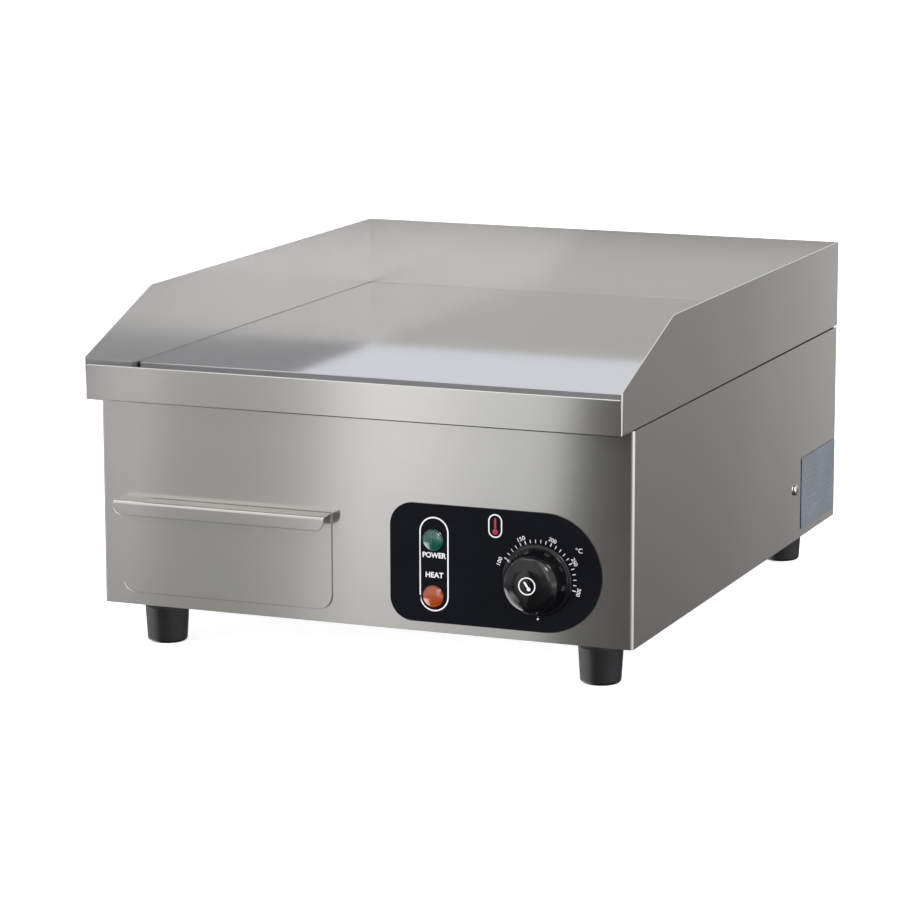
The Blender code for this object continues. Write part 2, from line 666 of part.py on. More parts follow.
def thermostat():
    """The capillary thermostat behind the knob, on its mounting plate, with its sensor."""
    face = FRONT + SHEET + GAP
    outline = rectangle((KNOB_X - 0.021, KNOB_Z - 0.018), (KNOB_X + 0.021, KNOB_Z + 0.018), 0.006)
    made = piece("thermostat_body", prism(outline, "Y", face + 0.004, face + 0.034), "phenolic")
    mount = block((KNOB_X - 0.017, face, KNOB_Z - 0.010), (KNOB_X + 0.017, face + 0.006, KNOB_Z + 0.010))
    join(made, "mount", mount)
    cut(made, "shaft_bore", rod((KNOB_X, face, KNOB_Z), (0, 1, 0), 0.0034, -0.005, 0.011, 16))
    level = ELEMENT_Z + 0.0002
    top = KNOB_Z + 0.018 + GAP
    route = [
        (0.000, FRONT + 0.290, level), (0.000, FRONT + 0.200, level), (0.000, FRONT + 0.195, level),
        (0.002, FRONT + 0.120, level), (0.020, FRONT + 0.070, level - 0.001),
        (0.060, FRONT + 0.046, level - 0.016), (0.100, FRONT + 0.036, level - 0.040),
        (0.128, FRONT + 0.026, top + 0.030), (KNOB_X, FRONT + 0.022, top + 0.012),
        (KNOB_X, FRONT + 0.022, top),
    ]
    probe("thermostat_probe", route)


def probe(name, route):
    """A sensor bulb, between the route's first two points, and its capillary along the rest."""
    path = [Vector(route[0]), Vector(route[1])]
    path += smooth_path(route[2:], 5)
    tube(name, path, 0.0009, "copper", thick_until=2, thick_radius=0.0030)


def safety_cutout():
    """The over-temperature cut-out: body inside, bushing through the rear panel, button in the bushing."""
    place = (CUTOUT_X, REAR_FACE - GAP, CUTOUT_Z)
    outline = rectangle((CUTOUT_X - 0.018, CUTOUT_Z - 0.014), (CUTOUT_X + 0.018, CUTOUT_Z + 0.014), 0.004)
    made = piece("cutout_body", prism(outline, "Y", place[1] - 0.032, place[1] - 0.0008), "phenolic")
    cut(made, "button_bore", rod(place, (0, 1, 0), 0.0058, -0.011, 0.005, 16))
    bushing = [
        (0.0034, -0.009), (0.0050, -0.009), (0.0050, 0.0016), (0.0082, 0.0016), (0.0082, 0.0046),
        (0.0070, 0.0052), (0.0034, 0.0052),
    ]
    piece("cutout_bushing", turned(bushing, place, (0, 1, 0), 20), "zinc", smooth=True)
    pin = [(0.0, -0.007), (0.0031, -0.007), (0.0031, 0.0072), (0.0026, 0.0080), (0.0, 0.0082)]
    button = piece("reset_button", turned(pin, (0, 0, 0), (0, 0, 1), 16), "button_red", smooth=True)
    button.location = place
    button.rotation_euler = (-math.pi / 2, 0, 0)
    level = ELEMENT_Z + 0.0002
    top = CUTOUT_Z + 0.014 + GAP
    route = [
        (-0.006, REAR - 0.170, level), (-0.006, REAR - 0.115, level), (-0.006, REAR - 0.111, level),
        (-0.007, REAR - 0.070, level), (-0.008, REAR - 0.045, level), (-0.016, REAR - 0.027, level - 0.002),
        (-0.040, REAR - 0.024, level - 0.012), (-0.085, REAR - 0.022, level - 0.034),
        (CUTOUT_X, REAR - 0.018, top + 0.012), (CUTOUT_X, REAR - 0.018, top),
    ]
    probe("cutout_probe", route)


# Mains side


def mains():
    """The cable gland, the equipotential bonding stud and the terminal block."""
    outside = (GLAND_X, REAR + GAP, GLAND_Z)
    bore = 0.0052
    body = [
        (bore, 0.0080), (0.0078, 0.0080), (0.0078, 0.0040), (0.0120, 0.0040), (0.0120, 0.0),
        (0.0079, 0.0), (0.0079, -0.0110), (bore, -0.0110),
    ]
    piece("cable_gland", turned(body, outside, (0, 1, 0), 24), "plastic_black")
    reach = GLAND_REACH - GAP
    cap = [
        (0.0081, 0.0043), (0.0112, 0.0043), (0.0112, 0.0095), (0.0088, reach - 0.0005), (0.0082, reach),
        (bore, reach), (bore, 0.0083), (0.0081, 0.0083),
    ]
    piece("gland_cap", turned(cap, outside, (0, 1, 0), 24), "plastic_black", smooth=True)
    nut = [(0.0082, 0.0), (0.0118, 0.0), (0.0118, -0.0045), (0.0082, -0.0045)]
    piece("gland_locknut", turned(nut, (GLAND_X, REAR_FACE - GAP, GLAND_Z), (0, 1, 0), 24), "plastic_black")

    bond = (BOND_X, REAR + GAP, GLAND_Z)
    stud = [(0.0, 0.0110), (0.0026, 0.0110), (0.0030, 0.0104), (0.0030, -0.0060), (0.0055, -0.0060),
            (0.0055, -0.0090), (0.0, -0.0090)]
    piece("bonding_stud", turned(stud, bond, (0, 1, 0), 12), "zinc")
    nut = [(0.0033, 0.0), (0.0056, 0.0), (0.0056, 0.0045), (0.0033, 0.0045)]
    piece("bonding_nut", turned(nut, bond, (0, 1, 0), 12), "zinc")

    low, high = (0.088, REAR - 0.085, BASE + SHEET + GAP), (0.124, REAR - 0.055, BASE + 0.021)
    terminals = piece("terminal_block", block(low, high), "ceramic")
    bevel(terminals, 0.0012)
    wells = [rod((0.094 + 0.012 * k, y, high[2]), (0, 0, 1), 0.0030, -0.005, 0.002, 10)
             for k in range(3) for y in (REAR - 0.078, REAR - 0.062)]
    cut(terminals, "screw_wells", together(wells))
    wires((low[1], high[1], (low[2] + high[2]) / 2))


def wires(block_face):
    """Three of the lines from the terminal block: to the thermostat and to one end of each element."""
    front, rear, level = block_face
    foot = ELEMENT_Z - 0.030 - GAP
    tail = REAR - 0.034
    ends = (FIRST_LEG, FIRST_LEG + 3 * LEG_PITCH)
    tube("wire_thermostat", smooth_path([
        (0.094, front - 2 * GAP, level), (0.094, front - 0.020, level),
        (0.120, front - 0.080, level + 0.004), (0.138, 0.000, level + 0.010), (KNOB_X, FRONT + 0.080, KNOB_Z - 0.010),
        (KNOB_X, FRONT + 0.055, KNOB_Z), (KNOB_X, FRONT + 0.0356, KNOB_Z),
    ], 4), 0.0014, "wire_red")
    tube("wire_heater_right", smooth_path([
        (0.118, rear + 2 * GAP, level), (0.118, rear + 0.010, level), (0.140, rear + 0.020, level + 0.030),
        (ends[1], tail, foot - 0.030), (ends[1], tail, foot),
    ], 4), 0.0014, "wire_blue")
    tube("wire_heater_left", smooth_path([
        (0.094, rear + 2 * GAP, level), (0.094, rear + 0.010, level), (0.040, rear + 0.018, level + 0.030),
        (-ends[0], tail, foot - 0.030), (-ends[0], tail, foot),
    ], 4), 0.0014, "wire_white")


def rating_label():
    """The foil label low on the right side, near the rear."""
    low = (HALF + GAP, FRONT + 0.3910, BASE + 0.0060)
    piece("rating_label", block(low, (HALF + 2 * GAP, FRONT + 0.4800, BASE + 0.0620)), "label_silver")


# Grease drawer


def drawer():
    """The drawer's front, bent forward into a handle along its top, and the pan behind it."""
    back = FRONT - GAP
    low, high = DRAWER_Z
    face = back - DRAWER_SHEET
    section = bent_sheet([
        (back, low), (back, high), (back - HANDLE_REACH - DRAWER_SHEET, high - 0.0006),
        (back - HANDLE_REACH - DRAWER_SHEET, high - HANDLE_DROP),
    ], DRAWER_SHEET, 0.0022)
    made = piece("drawer_front", prism(section, "X", *DRAWER_X), "brushed_steel")
    (left, right), tip = DRAWER_X, high - HANDLE_DROP
    waste = []
    for corner, way in ((left, 1), (right, -1)):
        lower = corner_waste((corner, low), (way, 1), DRAWER_CORNER)
        handle = corner_waste((corner, tip), (way, 1), HANDLE_CORNER)
        waste.append(prism(lower, "Y", face - 0.001, back + 0.001))
        waste.append(prism(handle, "Y", face - 0.016, face - 0.004))
    cut(made, "corners", together(waste))

    (left, right), (floor, top) = PAN_X, PAN_Z
    start = FRONT
    pan = piece("drawer_pan", block((left, start, floor), (right, start + PAN_DEPTH, top)), "brushed_steel")
    cut(pan, "inside", block((left + SHEET, start + SHEET, floor + SHEET),
                             (right - SHEET, start + PAN_DEPTH - SHEET, top + 0.01)))


def drawer_rails():
    """Two Z-shaped rails on the base plate that carry the pan."""
    low, high = BASE + SHEET + GAP, PAN_Z[0] - GAP - SHEET
    ends = (FRONT + 0.004, FRONT + PAN_DEPTH + 0.010)
    for name, edge, way in (("drawer_rail_left", PAN_X[0], 1), ("drawer_rail_right", PAN_X[1], -1)):
        web = edge - way * 0.0013
        path = [(web - way * 0.009, low), (web, low), (web, high), (web + way * 0.014, high)]
        section = bent_sheet(path[::way], SHEET, 0.0)
        piece(name, prism(section, "Y", *ends), "galvanised")


def build():
    """Clears the scene and makes every piece."""
    for old in list(bpy.data.objects):
        bpy.data.objects.remove(old)
    splash_surround()
    surround_gasket()
    griddle_plate()
    drain_spout()
    heating()
    body_wrap()
    base_plate()
    rear_panel()
    screws()
    feet()
    control_overlay()
    lamps()
    knob()
    thermostat()
    safety_cutout()
    mains()
    rating_label()
    drawer()
    drawer_rails()


build()
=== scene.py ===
"""The looks of a countertop flat top griddle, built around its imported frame.

Each sub-assembly is a class that makes its pieces in metres, in the frame's own coordinates: X to the
right of a cook at the controls, Y away from the cook, Z up. Each of the frame's own solids is replaced by
a piece with the same place and size, made with its edges, threads, slots and printing.
"""

from __future__ import annotations

import logging
import math
from abc import ABC, abstractmethod
from collections.abc import Callable, Iterable, Mapping, Sequence
from dataclasses import dataclass, field
from enum import Enum

import bmesh
import bpy
from mathutils import Matrix, Vector


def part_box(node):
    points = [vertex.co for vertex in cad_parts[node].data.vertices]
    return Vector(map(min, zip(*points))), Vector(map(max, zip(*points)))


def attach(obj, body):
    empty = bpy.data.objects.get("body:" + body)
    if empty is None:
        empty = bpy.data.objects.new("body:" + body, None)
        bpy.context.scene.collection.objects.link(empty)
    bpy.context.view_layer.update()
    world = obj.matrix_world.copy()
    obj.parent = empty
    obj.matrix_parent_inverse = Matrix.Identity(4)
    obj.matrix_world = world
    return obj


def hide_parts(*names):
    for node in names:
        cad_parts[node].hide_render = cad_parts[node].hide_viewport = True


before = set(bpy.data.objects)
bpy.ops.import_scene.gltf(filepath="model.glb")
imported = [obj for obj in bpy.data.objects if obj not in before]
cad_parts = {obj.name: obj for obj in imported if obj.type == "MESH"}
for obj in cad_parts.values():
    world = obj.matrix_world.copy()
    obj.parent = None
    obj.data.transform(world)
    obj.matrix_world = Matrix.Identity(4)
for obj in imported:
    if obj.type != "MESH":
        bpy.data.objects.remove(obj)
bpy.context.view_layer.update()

log = logging.getLogger("griddle")

Pair = tuple[float, float]
Point = tuple[float, float, float]
Colour = tuple[float, float, float]
Stop = tuple[float, Colour]

# In metres: the clearance between neighbours, the sheets' and the print's thickness, and how far a form
# that cuts reaches beyond what it cuts. Then the radius of the heating elements' tube
GAP = 0.0003
SHEET = 0.001
INK = 0.00005
OVER = 0.01
ELEMENT_RADIUS = 0.00325
# The radius of the holes behind the lamps and the knob, and of the rear screws' holes
PANEL_HOLES = (("power_lens", 0.0054), ("heat_lens", 0.0054), ("control_knob", 0.005))
REAR_SCREWS = tuple(f"rear_screw_{number}" for number in range(1, 5))
REAR_SCREW_HOLE = 0.0018
CORNERS = ("front_left", "front_right", "rear_left", "rear_right")
UP: Point = (0, 0, 1)
AWAY: Point = (0, 1, 0)
TOWARDS: Point = (0, -1, 0)


class Body(Enum):
    """The bodies that a piece can ride on."""

    GRIDDLE = "griddle"
    DRAWER = "grease_drawer"
    KNOB = "thermostat_knob"
    BUTTON = "reset_pin"


class Slot(Enum):
    """The record's material slots."""

    NONE = ""
    STEEL = "stainless_brushed"
    PLATE = "plate_polished"
    SILICONE = "silicone_black"
    SHEATH = "element_sheath"
    GALVANISED = "galvanised"
    ZINC = "zinc_plated"
    SCREW = "screw_bright"
    RUBBER = "rubber_black"
    OVERLAY = "overlay_black"
    KNOB = "knob_black"
    GREEN = "lens_green"
    AMBER = "lens_amber"
    PLASTIC = "plastic_black"
    PHENOLIC = "phenolic"
    COPPER = "copper"
    CERAMIC = "ceramic_white"
    FIBRE = "ceramic_fibre"
    BUTTON = "button_red"
    LABEL = "label_silver"
    RED_WIRE = "wire_red"
    BLUE_WIRE = "wire_blue"
    WHITE_WIRE = "wire_white"


class Axis(Enum):
    """The direction of an extrusion, which says what an outline's two numbers are."""

    X = "X"
    Y = "Y"
    Z = "Z"

    def place(self, a: float, b: float, along: float) -> Point:
        """The point of an outline's pair.

        Args:
            a: The pair's first number.
            b: Its second number.
            along: How far the point is along the axis.

        Returns:
            The point.
        """
        if self is Axis.X:
            return along, a, b
        if self is Axis.Y:
            return a, along, b
        return a, b, along

    def pair(self, point: Sequence[float]) -> Pair:
        """The outline's pair that a point has."""
        first, second = (value for letter, value in zip("XYZ", point) if letter != self.value)
        return first, second

    def reach(self, point: Sequence[float]) -> float:
        """How far a point is along the axis."""
        return point["XYZ".index(self.value)]


# Shader graphs


class Signal:
    """An output socket of a shader graph that arithmetic can be written on."""

    def __init__(self, graph: Graph, socket: bpy.types.NodeSocket) -> None:
        """Wraps a socket of the graph."""
        self.graph = graph
        self.socket = socket

    def _math(self, operation: str, first: Input, second: Input) -> Signal:
        """One Math node on two values."""
        return self.graph.node("ShaderNodeMath", {"operation": operation}, {0: first, 1: second})

    def __add__(self, other: Input) -> Signal:
        """This plus a value."""
        return self._math("ADD", self, other)

    def __radd__(self, other: Input) -> Signal:
        """A value plus this."""
        return self._math("ADD", other, self)

    def __sub__(self, other: Input) -> Signal:
        """This less a value."""
        return self._math("SUBTRACT", self, other)

    def __rsub__(self, other: Input) -> Signal:
        """A value less this."""
        return self._math("SUBTRACT", other, self)

    def __mul__(self, other: Input) -> Signal:
        """This times a value."""
        return self._math("MULTIPLY", self, other)

    def __rmul__(self, other: Input) -> Signal:
        """A value times this."""
        return self._math("MULTIPLY", other, self)

    def __abs__(self) -> Signal:
        """This without its sign."""
        return self._math("ABSOLUTE", self, 0.0)

    def rising(self, low: float, high: float) -> Signal:
        """A smooth step from 0 at low to 1 at high.

        Args:
            low: The value at which the step starts.
            high: The value at which it ends.

        Returns:
            The stepped value.
        """
        settings = {"interpolation_type": "SMOOTHSTEP"}
        inputs = {"Value": self, "From Min": low, "From Max": high}
        return self.graph.node("ShaderNodeMapRange", settings, inputs)


Input = Signal | float | tuple


class Graph:
    """A shader node tree under construction."""

    def __init__(self, tree: bpy.types.NodeTree) -> None:
        """Starts from an empty tree."""
        self.tree = tree
        self.tree.nodes.clear()

    def node(self, kind: str, settings: Mapping[str, object] | None = None,
             inputs: Mapping[int | str, Input] | None = None, output: int | str = 0) -> Signal:
        """Adds a node.

        Args:
            kind: The node's type.
            settings: Its own properties, set first; "stops" are a ramp's (position, colour) pairs.
            inputs: Values or links of its sockets, by name or number.
            output: The socket that is handed back.

        Returns:
            The chosen output.
        """
        made = self.tree.nodes.new(kind)
        for name, value in (settings or {}).items():
            if name == "stops":
                self._set_stops(made.color_ramp, value)
            else:
                setattr(made, name, value)
        for name, value in (inputs or {}).items():
            if isinstance(value, Signal):
                self.tree.links.new(value.socket, made.inputs[name])
            else:
                made.inputs[name].default_value = value
        return Signal(self, made.outputs[output])

    def end(self, kind: str, shader: Signal) -> None:
        """Adds the output node, with the shader as its surface."""
        made = self.tree.nodes.new(kind)
        self.tree.links.new(shader.socket, made.inputs["Surface"])

    @staticmethod
    def _set_stops(ramp: bpy.types.ColorRamp, stops: Iterable[Stop]) -> None:
        """Gives a ramp its stops.

        Args:
            ramp: The ramp.
            stops: Their positions and colours, in rising order.
        """
        pairs = list(stops)
        while len(ramp.elements) < len(pairs):
            ramp.elements.new(1.0)
        for element, (position, colour) in zip(ramp.elements, pairs):
            element.position = position
            element.color = (*colour, 1.0)

    def place(self) -> Signal:
        """The point on the piece, in metres."""
        return self.node("ShaderNodeTexCoord", output="Object")

    def facing(self) -> Signal:
        """The surface's normal."""
        return self.node("ShaderNodeNewGeometry", output="Normal")

    def part(self, vector: Signal, letter: str) -> Signal:
        """One of a vector's X, Y and Z."""
        return self.node("ShaderNodeSeparateXYZ", None, {0: vector}, letter)

    def stretched(self, vector: Signal, scale: Point) -> Signal:
        """A vector times a scale for each direction."""
        return self.node("ShaderNodeVectorMath", {"operation": "MULTIPLY"}, {0: vector, 1: scale})

    def noise(self, vector: Signal, scale: float, detail: float = 2.0, roughness: float = 0.5) -> Signal:
        """Soft noise, between 0 and 1.

        Args:
            vector: Where it is read.
            scale: Its features for each unit of the vector.
            detail: Its finer layers.
            roughness: How strong those are.

        Returns:
            The noise's value.
        """
        inputs = {"Vector": vector, "Scale": scale, "Detail": detail, "Roughness": roughness}
        return self.node("ShaderNodeTexNoise", {"noise_dimensions": "3D"}, inputs, "Fac")

    def cells(self, vector: Signal, scale: float, output: str, randomness: float = 1.0) -> Signal:
        """Voronoi cells.

        Args:
            vector: Where they are read.
            scale: How many there are for each unit of the vector.
            output: "Distance", to each cell's point, or "Color", each cell's own.
            randomness: 0 for a square grid.

        Returns:
            The chosen output.
        """
        inputs = {"Vector": vector, "Scale": scale, "Randomness": randomness}
        return self.node("ShaderNodeTexVoronoi", None, inputs, output)

    def blend(self, factor: Input, first: Input, second: Input) -> Signal:
        """A mix of two colours.

        Args:
            factor: 0 for the first, 1 for the second.
            first: A colour or a link.
            second: A colour or a link.

        Returns:
            The mixed colour.
        """
        both = [(*c, 1.0) if isinstance(c, tuple) else c for c in (first, second)]
        settings = {"data_type": "RGBA"}
        return self.node("ShaderNodeMix", settings, {0: factor, 6: both[0], 7: both[1]}, 2)

    def bump(self, height: Signal, distance: float, strength: float, under: Signal | None = None) -> Signal:
        """A normal from a height.

        Args:
            height: The height, between 0 and 1.
            distance: How deep 1 is, in metres.
            strength: How much of it is used.
            under: The normal that it lies on, if not the surface's own.

        Returns:
            The normal.
        """
        inputs = {"Height": height, "Distance": distance, "Strength": strength}
        return self.node("ShaderNodeBump", None, inputs | ({"Normal": under} if under else {}))

    def surface(self, **values: Input) -> None:
        """Ends a material with a Principled BSDF, its inputs named with _ for a space."""
        inputs = {name.replace("_", " "): value for name, value in values.items()}
        for name in ("Base Color", "Emission Color"):
            if isinstance(inputs.get(name), tuple):
                inputs[name] = (*inputs[name], 1.0)
        self.end("ShaderNodeOutputMaterial", self.node("ShaderNodeBsdfPrincipled", None, inputs))


# Finishes


@dataclass(frozen=True)
class Finish(ABC):
    """A finish: its name, and the record's material slot that it stands for."""

    name: str
    slot: Slot

    def material(self) -> bpy.types.Material:
        """Makes the finish's material, the first time that it is asked for.

        Returns:
            The material.
        """
        found = bpy.data.materials.get(self.name)
        if found:
            return found
        made = bpy.data.materials.new(self.name)
        made.use_nodes = True
        self.shade(Graph(made.node_tree))
        return made

    @abstractmethod
    def shade(self, graph: Graph) -> None:
        """Builds the finish's nodes.

        Args:
            graph: The material's empty graph.
        """


@dataclass(frozen=True)
class BrushedSteel(Finish):
    """Stainless sheet with a straight horizontal grain, a little uneven from its rolling."""

    colour: Colour = (0.6, 0.592, 0.575)
    gloss: float = 0.088
    haze: float = 0.38
    haze_share: float = 0.21
    streak: float = 0.022
    grain: float = 2600.0
    run: float = 9.0

    def shade(self, graph: Graph) -> None:
        """A clear and a hazy gloss, both drawn out across the grain, with streaks and wiped patches.

        Args:
            graph: The material's empty graph.
        """
        place = graph.place()
        upright = 1.0 - abs(graph.part(graph.facing(), "Z")).rising(0.5, 0.9)
        walls = graph.noise(graph.stretched(place, (self.run, self.run, self.grain)), 1.0, 3.0, 0.65)
        flats = graph.noise(graph.stretched(place, (self.run, self.grain, self.run)), 1.0, 3.0, 0.65)
        lines = walls * upright + flats * (1.0 - upright)
        broad = graph.noise(graph.stretched(place, (3.0, 3.0, 90.0)), 1.0, 2.0)
        wiped = graph.noise(place, 14.0, 4.0, 0.6)
        shade = 0.5 + (lines - 0.5) * 1.2 + (broad - 0.5) * 0.35
        darker = tuple(c * (1.0 - self.streak) for c in self.colour)
        lighter = tuple(min(1.0, c * (1.0 + self.streak)) for c in self.colour)
        colour = graph.blend(shade.rising(0.0, 1.0), darker, lighter)
        wave = graph.noise(graph.stretched(place, (1.0, 1.0, 0.45)), 5.0, 1.0)
        rolled = graph.bump(wave, 0.0022, 0.1)
        normal = graph.bump(lines, 0.000002, 0.2, rolled)
        lobes = [
            graph.node("ShaderNodeBsdfPrincipled", None, {
                "Base Color": colour, "Metallic": 1.0, "Roughness": rough, "Anisotropic": 1.0,
                "Anisotropic Rotation": 0.25, "Normal": normal,
            })
            for rough in (self.gloss + (lines - 0.5) * 0.012, self.haze + (wiped - 0.5) * 0.06)
        ]
        share = self.haze_share + (wiped - 0.5) * 0.1 + (lines - 0.5) * 0.06
        graph.end("ShaderNodeOutputMaterial", graph.node("ShaderNodeMixShader", None,
                                                         {0: share, 1: lobes[0], 2: lobes[1]}))


@dataclass(frozen=True)
class PolishedPlate(Finish):
    """Ground and chromed cooking steel, close to a mirror, with hairlines from its first wipes."""

    colour: Colour = (0.405, 0.408, 0.42)
    gloss: float = 0.075

    def shade(self, graph: Graph) -> None:
        """Hairline scratches in two directions over a faint film; the sawn edges are duller.

        Args:
            graph: The material's empty graph.
        """
        place = graph.place()
        along = graph.noise(graph.stretched(place, (6.0, 1800.0, 6.0)), 1.0, 2.0, 0.7).rising(0.6, 0.8)
        across = graph.noise(graph.stretched(place, (1500.0, 9.0, 6.0)), 1.0, 2.0, 0.7).rising(0.64, 0.84)
        film = graph.noise(place, 9.0, 4.0, 0.55)
        colour = graph.blend(film, tuple(c * 0.96 for c in self.colour), self.colour)
        sawn = 1.0 - abs(graph.part(graph.facing(), "Z")).rising(0.2, 0.6)
        rough = self.gloss + along * 0.05 + across * 0.04 + (film - 0.5) * 0.035 + sawn * 0.35
        normal = graph.bump(along + across, 0.000003, 0.3)
        graph.surface(Base_Color=colour, Metallic=1.0, Roughness=rough, Normal=normal)


@dataclass(frozen=True)
class PlatedMetal(Finish):
    """Zinc, copper and bright steel: a turned or drawn metal with faint clouds."""

    colour: Colour = (0.68, 0.68, 0.66)
    cloud: Colour = (0.6, 0.61, 0.6)
    gloss: float = 0.25
    cloud_scale: float = 220.0

    def shade(self, graph: Graph) -> None:
        """Clouds of the second colour, with fine pits.

        Args:
            graph: The material's empty graph.
        """
        place = graph.place()
        clouds = graph.noise(place, self.cloud_scale, 4.0, 0.6)
        pits = graph.noise(place, 2400.0, 2.0, 0.6)
        colour = graph.blend(clouds.rising(0.35, 0.7), self.colour, self.cloud)
        rough = self.gloss + (clouds - 0.5) * 0.12 + (pits - 0.5) * 0.06
        normal = graph.bump(pits, 0.00001, 0.4)
        graph.surface(Base_Color=colour, Metallic=1.0, Roughness=rough, Normal=normal)


@dataclass(frozen=True)
class Galvanised(Finish):
    """Zinc-coated sheet with its crystal spangle."""

    colour: Colour = (0.5, 0.51, 0.52)
    spangle: float = 170.0

    def shade(self, graph: Graph) -> None:
        """Crystals a few millimetres across, each with its own tone and gloss.

        Args:
            graph: The material's empty graph.
        """
        place = graph.place()
        crystal = graph.part(graph.cells(place, self.spangle, "Color"), "X")
        dust = graph.noise(place, 1500.0, 3.0, 0.6)
        lighter = tuple(c * 1.25 for c in self.colour)
        colour = graph.blend(crystal * 0.7 + dust * 0.3, self.colour, lighter)
        rough = 0.36 + (crystal - 0.5) * 0.16 + (dust - 0.5) * 0.08
        normal = graph.bump(dust, 0.00001, 0.4)
        graph.surface(Base_Color=colour, Metallic=0.95, Roughness=rough, Normal=normal)


@dataclass(frozen=True)
class HeatedSheath(Finish):
    """Nickel alloy element tube, straw to blue-grey where it has been hot."""

    colour: Colour = (0.2, 0.19, 0.18)
    bloom: Colour = (0.24, 0.2, 0.16)

    def shade(self, graph: Graph) -> None:
        """Slow bands of oxide along the tube, with a dull grain.

        Args:
            graph: The material's empty graph.
        """
        place = graph.place()
        bands = graph.noise(graph.stretched(place, (30.0, 12.0, 30.0)), 1.0, 3.0, 0.6)
        scale = graph.noise(place, 1800.0, 3.0, 0.65)
        colour = graph.blend(bands.rising(0.3, 0.7), self.colour, self.bloom)
        rough = 0.44 + (scale - 0.5) * 0.2
        normal = graph.bump(scale, 0.00002, 0.5)
        graph.surface(Base_Color=colour, Metallic=0.85, Roughness=rough, Normal=normal)


@dataclass(frozen=True)
class Moulded(Finish):
    """Moulded or printed plastic, rubber and ceramic: a tool's fine texture under one colour."""

    colour: Colour = (0.02, 0.02, 0.02)
    fleck: Colour = (0.03, 0.03, 0.03)
    gloss: float = 0.4
    spread: float = 0.06
    texture: float = 2200.0
    depth: float = 0.00001
    coat: float = 0.0
    coat_roughness: float = 0.05
    specular: float = 0.5
    metallic: float = 0.0

    def shade(self, graph: Graph) -> None:
        """Fine texture, with slow changes of tone and gloss.

        Args:
            graph: The material's empty graph.
        """
        place = graph.place()
        fine = graph.noise(place, self.texture, 2.0, 0.6)
        slow = graph.noise(place, 26.0, 4.0, 0.6)
        colour = graph.blend((fine * 0.5 + slow * 0.5).rising(0.35, 0.65), self.colour, self.fleck)
        rough = self.gloss + (slow - 0.5) * self.spread + (fine - 0.5) * self.spread
        graph.surface(Base_Color=colour, Metallic=self.metallic, Roughness=rough, Coat_Weight=self.coat,
                      Specular_IOR_Level=self.specular, Coat_Roughness=self.coat_roughness,
                      Normal=graph.bump(fine, self.depth, 0.5))


@dataclass(frozen=True)
class Lens(Finish):
    """Tinted lamp plastic, with a square grid of small prisms moulded inside it."""

    colour: Colour = (0.0, 0.2, 0.15)
    prism: Colour = (0.02, 0.4, 0.3)
    pitch: float = 0.0011

    def shade(self, graph: Graph) -> None:
        """Lighter dots in rows under a clear gloss.

        Args:
            graph: The material's empty graph.
        """
        place = graph.place()
        face = graph.stretched(place, (1.0, 0.0, 1.0))
        dots = 1.0 - graph.cells(face, 1.0 / self.pitch, "Distance", 0.0).rising(0.12, 0.42)
        cloud = graph.noise(place, 300.0, 2.0)
        colour = graph.blend(dots * 0.6 + (cloud - 0.5) * 0.3, self.colour, self.prism)
        rough = 0.16 + cloud * 0.08
        graph.surface(Base_Color=colour, Roughness=rough, Coat_Weight=1.0, Coat_Roughness=0.03,
                      Normal=graph.bump(dots, 0.00004, 0.4))


@dataclass(frozen=True)
class FibreMat(Finish):
    """Ceramic fibre blanket: short tangled fibres, off-white."""

    colour: Colour = (0.82, 0.81, 0.77)

    def shade(self, graph: Graph) -> None:
        """Tangled fibres in two directions over soft lumps.

        Args:
            graph: The material's empty graph.
        """
        place = graph.place()
        one = graph.noise(graph.stretched(place, (700.0, 120.0, 700.0)), 1.0, 3.0, 0.7)
        two = graph.noise(graph.stretched(place, (120.0, 700.0, 700.0)), 1.0, 3.0, 0.7)
        lumps = graph.noise(place, 60.0, 3.0)
        fibres = one * 0.5 + two * 0.5
        colour = graph.blend(fibres.rising(0.3, 0.7), tuple(c * 0.86 for c in self.colour), self.colour)
        rough = 0.9 + (fibres - 0.5) * 0.1
        normal = graph.bump(fibres * 0.6 + lumps * 0.4, 0.0004, 0.7)
        graph.surface(Base_Color=colour, Roughness=rough, Normal=normal)


@dataclass(frozen=True)
class PaleFloor(Finish):
    """A plain pale sweep under the griddle."""

    colour: Colour = (0.88, 0.88, 0.88)
    glow: float = 0.75

    def shade(self, graph: Graph) -> None:
        """A matt surface that is hardly uneven.

        Args:
            graph: The material's empty graph.
        """
        mottle = graph.noise(graph.place(), 3.0, 3.0)
        colour = graph.blend(mottle, self.colour, tuple(c * 1.03 for c in self.colour))
        graph.surface(Base_Color=colour, Roughness=0.85, Specular_IOR_Level=0.1,
                      Emission_Color=(1.0, 1.0, 1.0), Emission_Strength=self.glow)


# Outlines and shapes


def swept(turn: float, steps: int) -> list[float]:
    """Angles from 0 to a turn, in even steps."""
    return [turn * k / steps for k in range(steps + 1)]


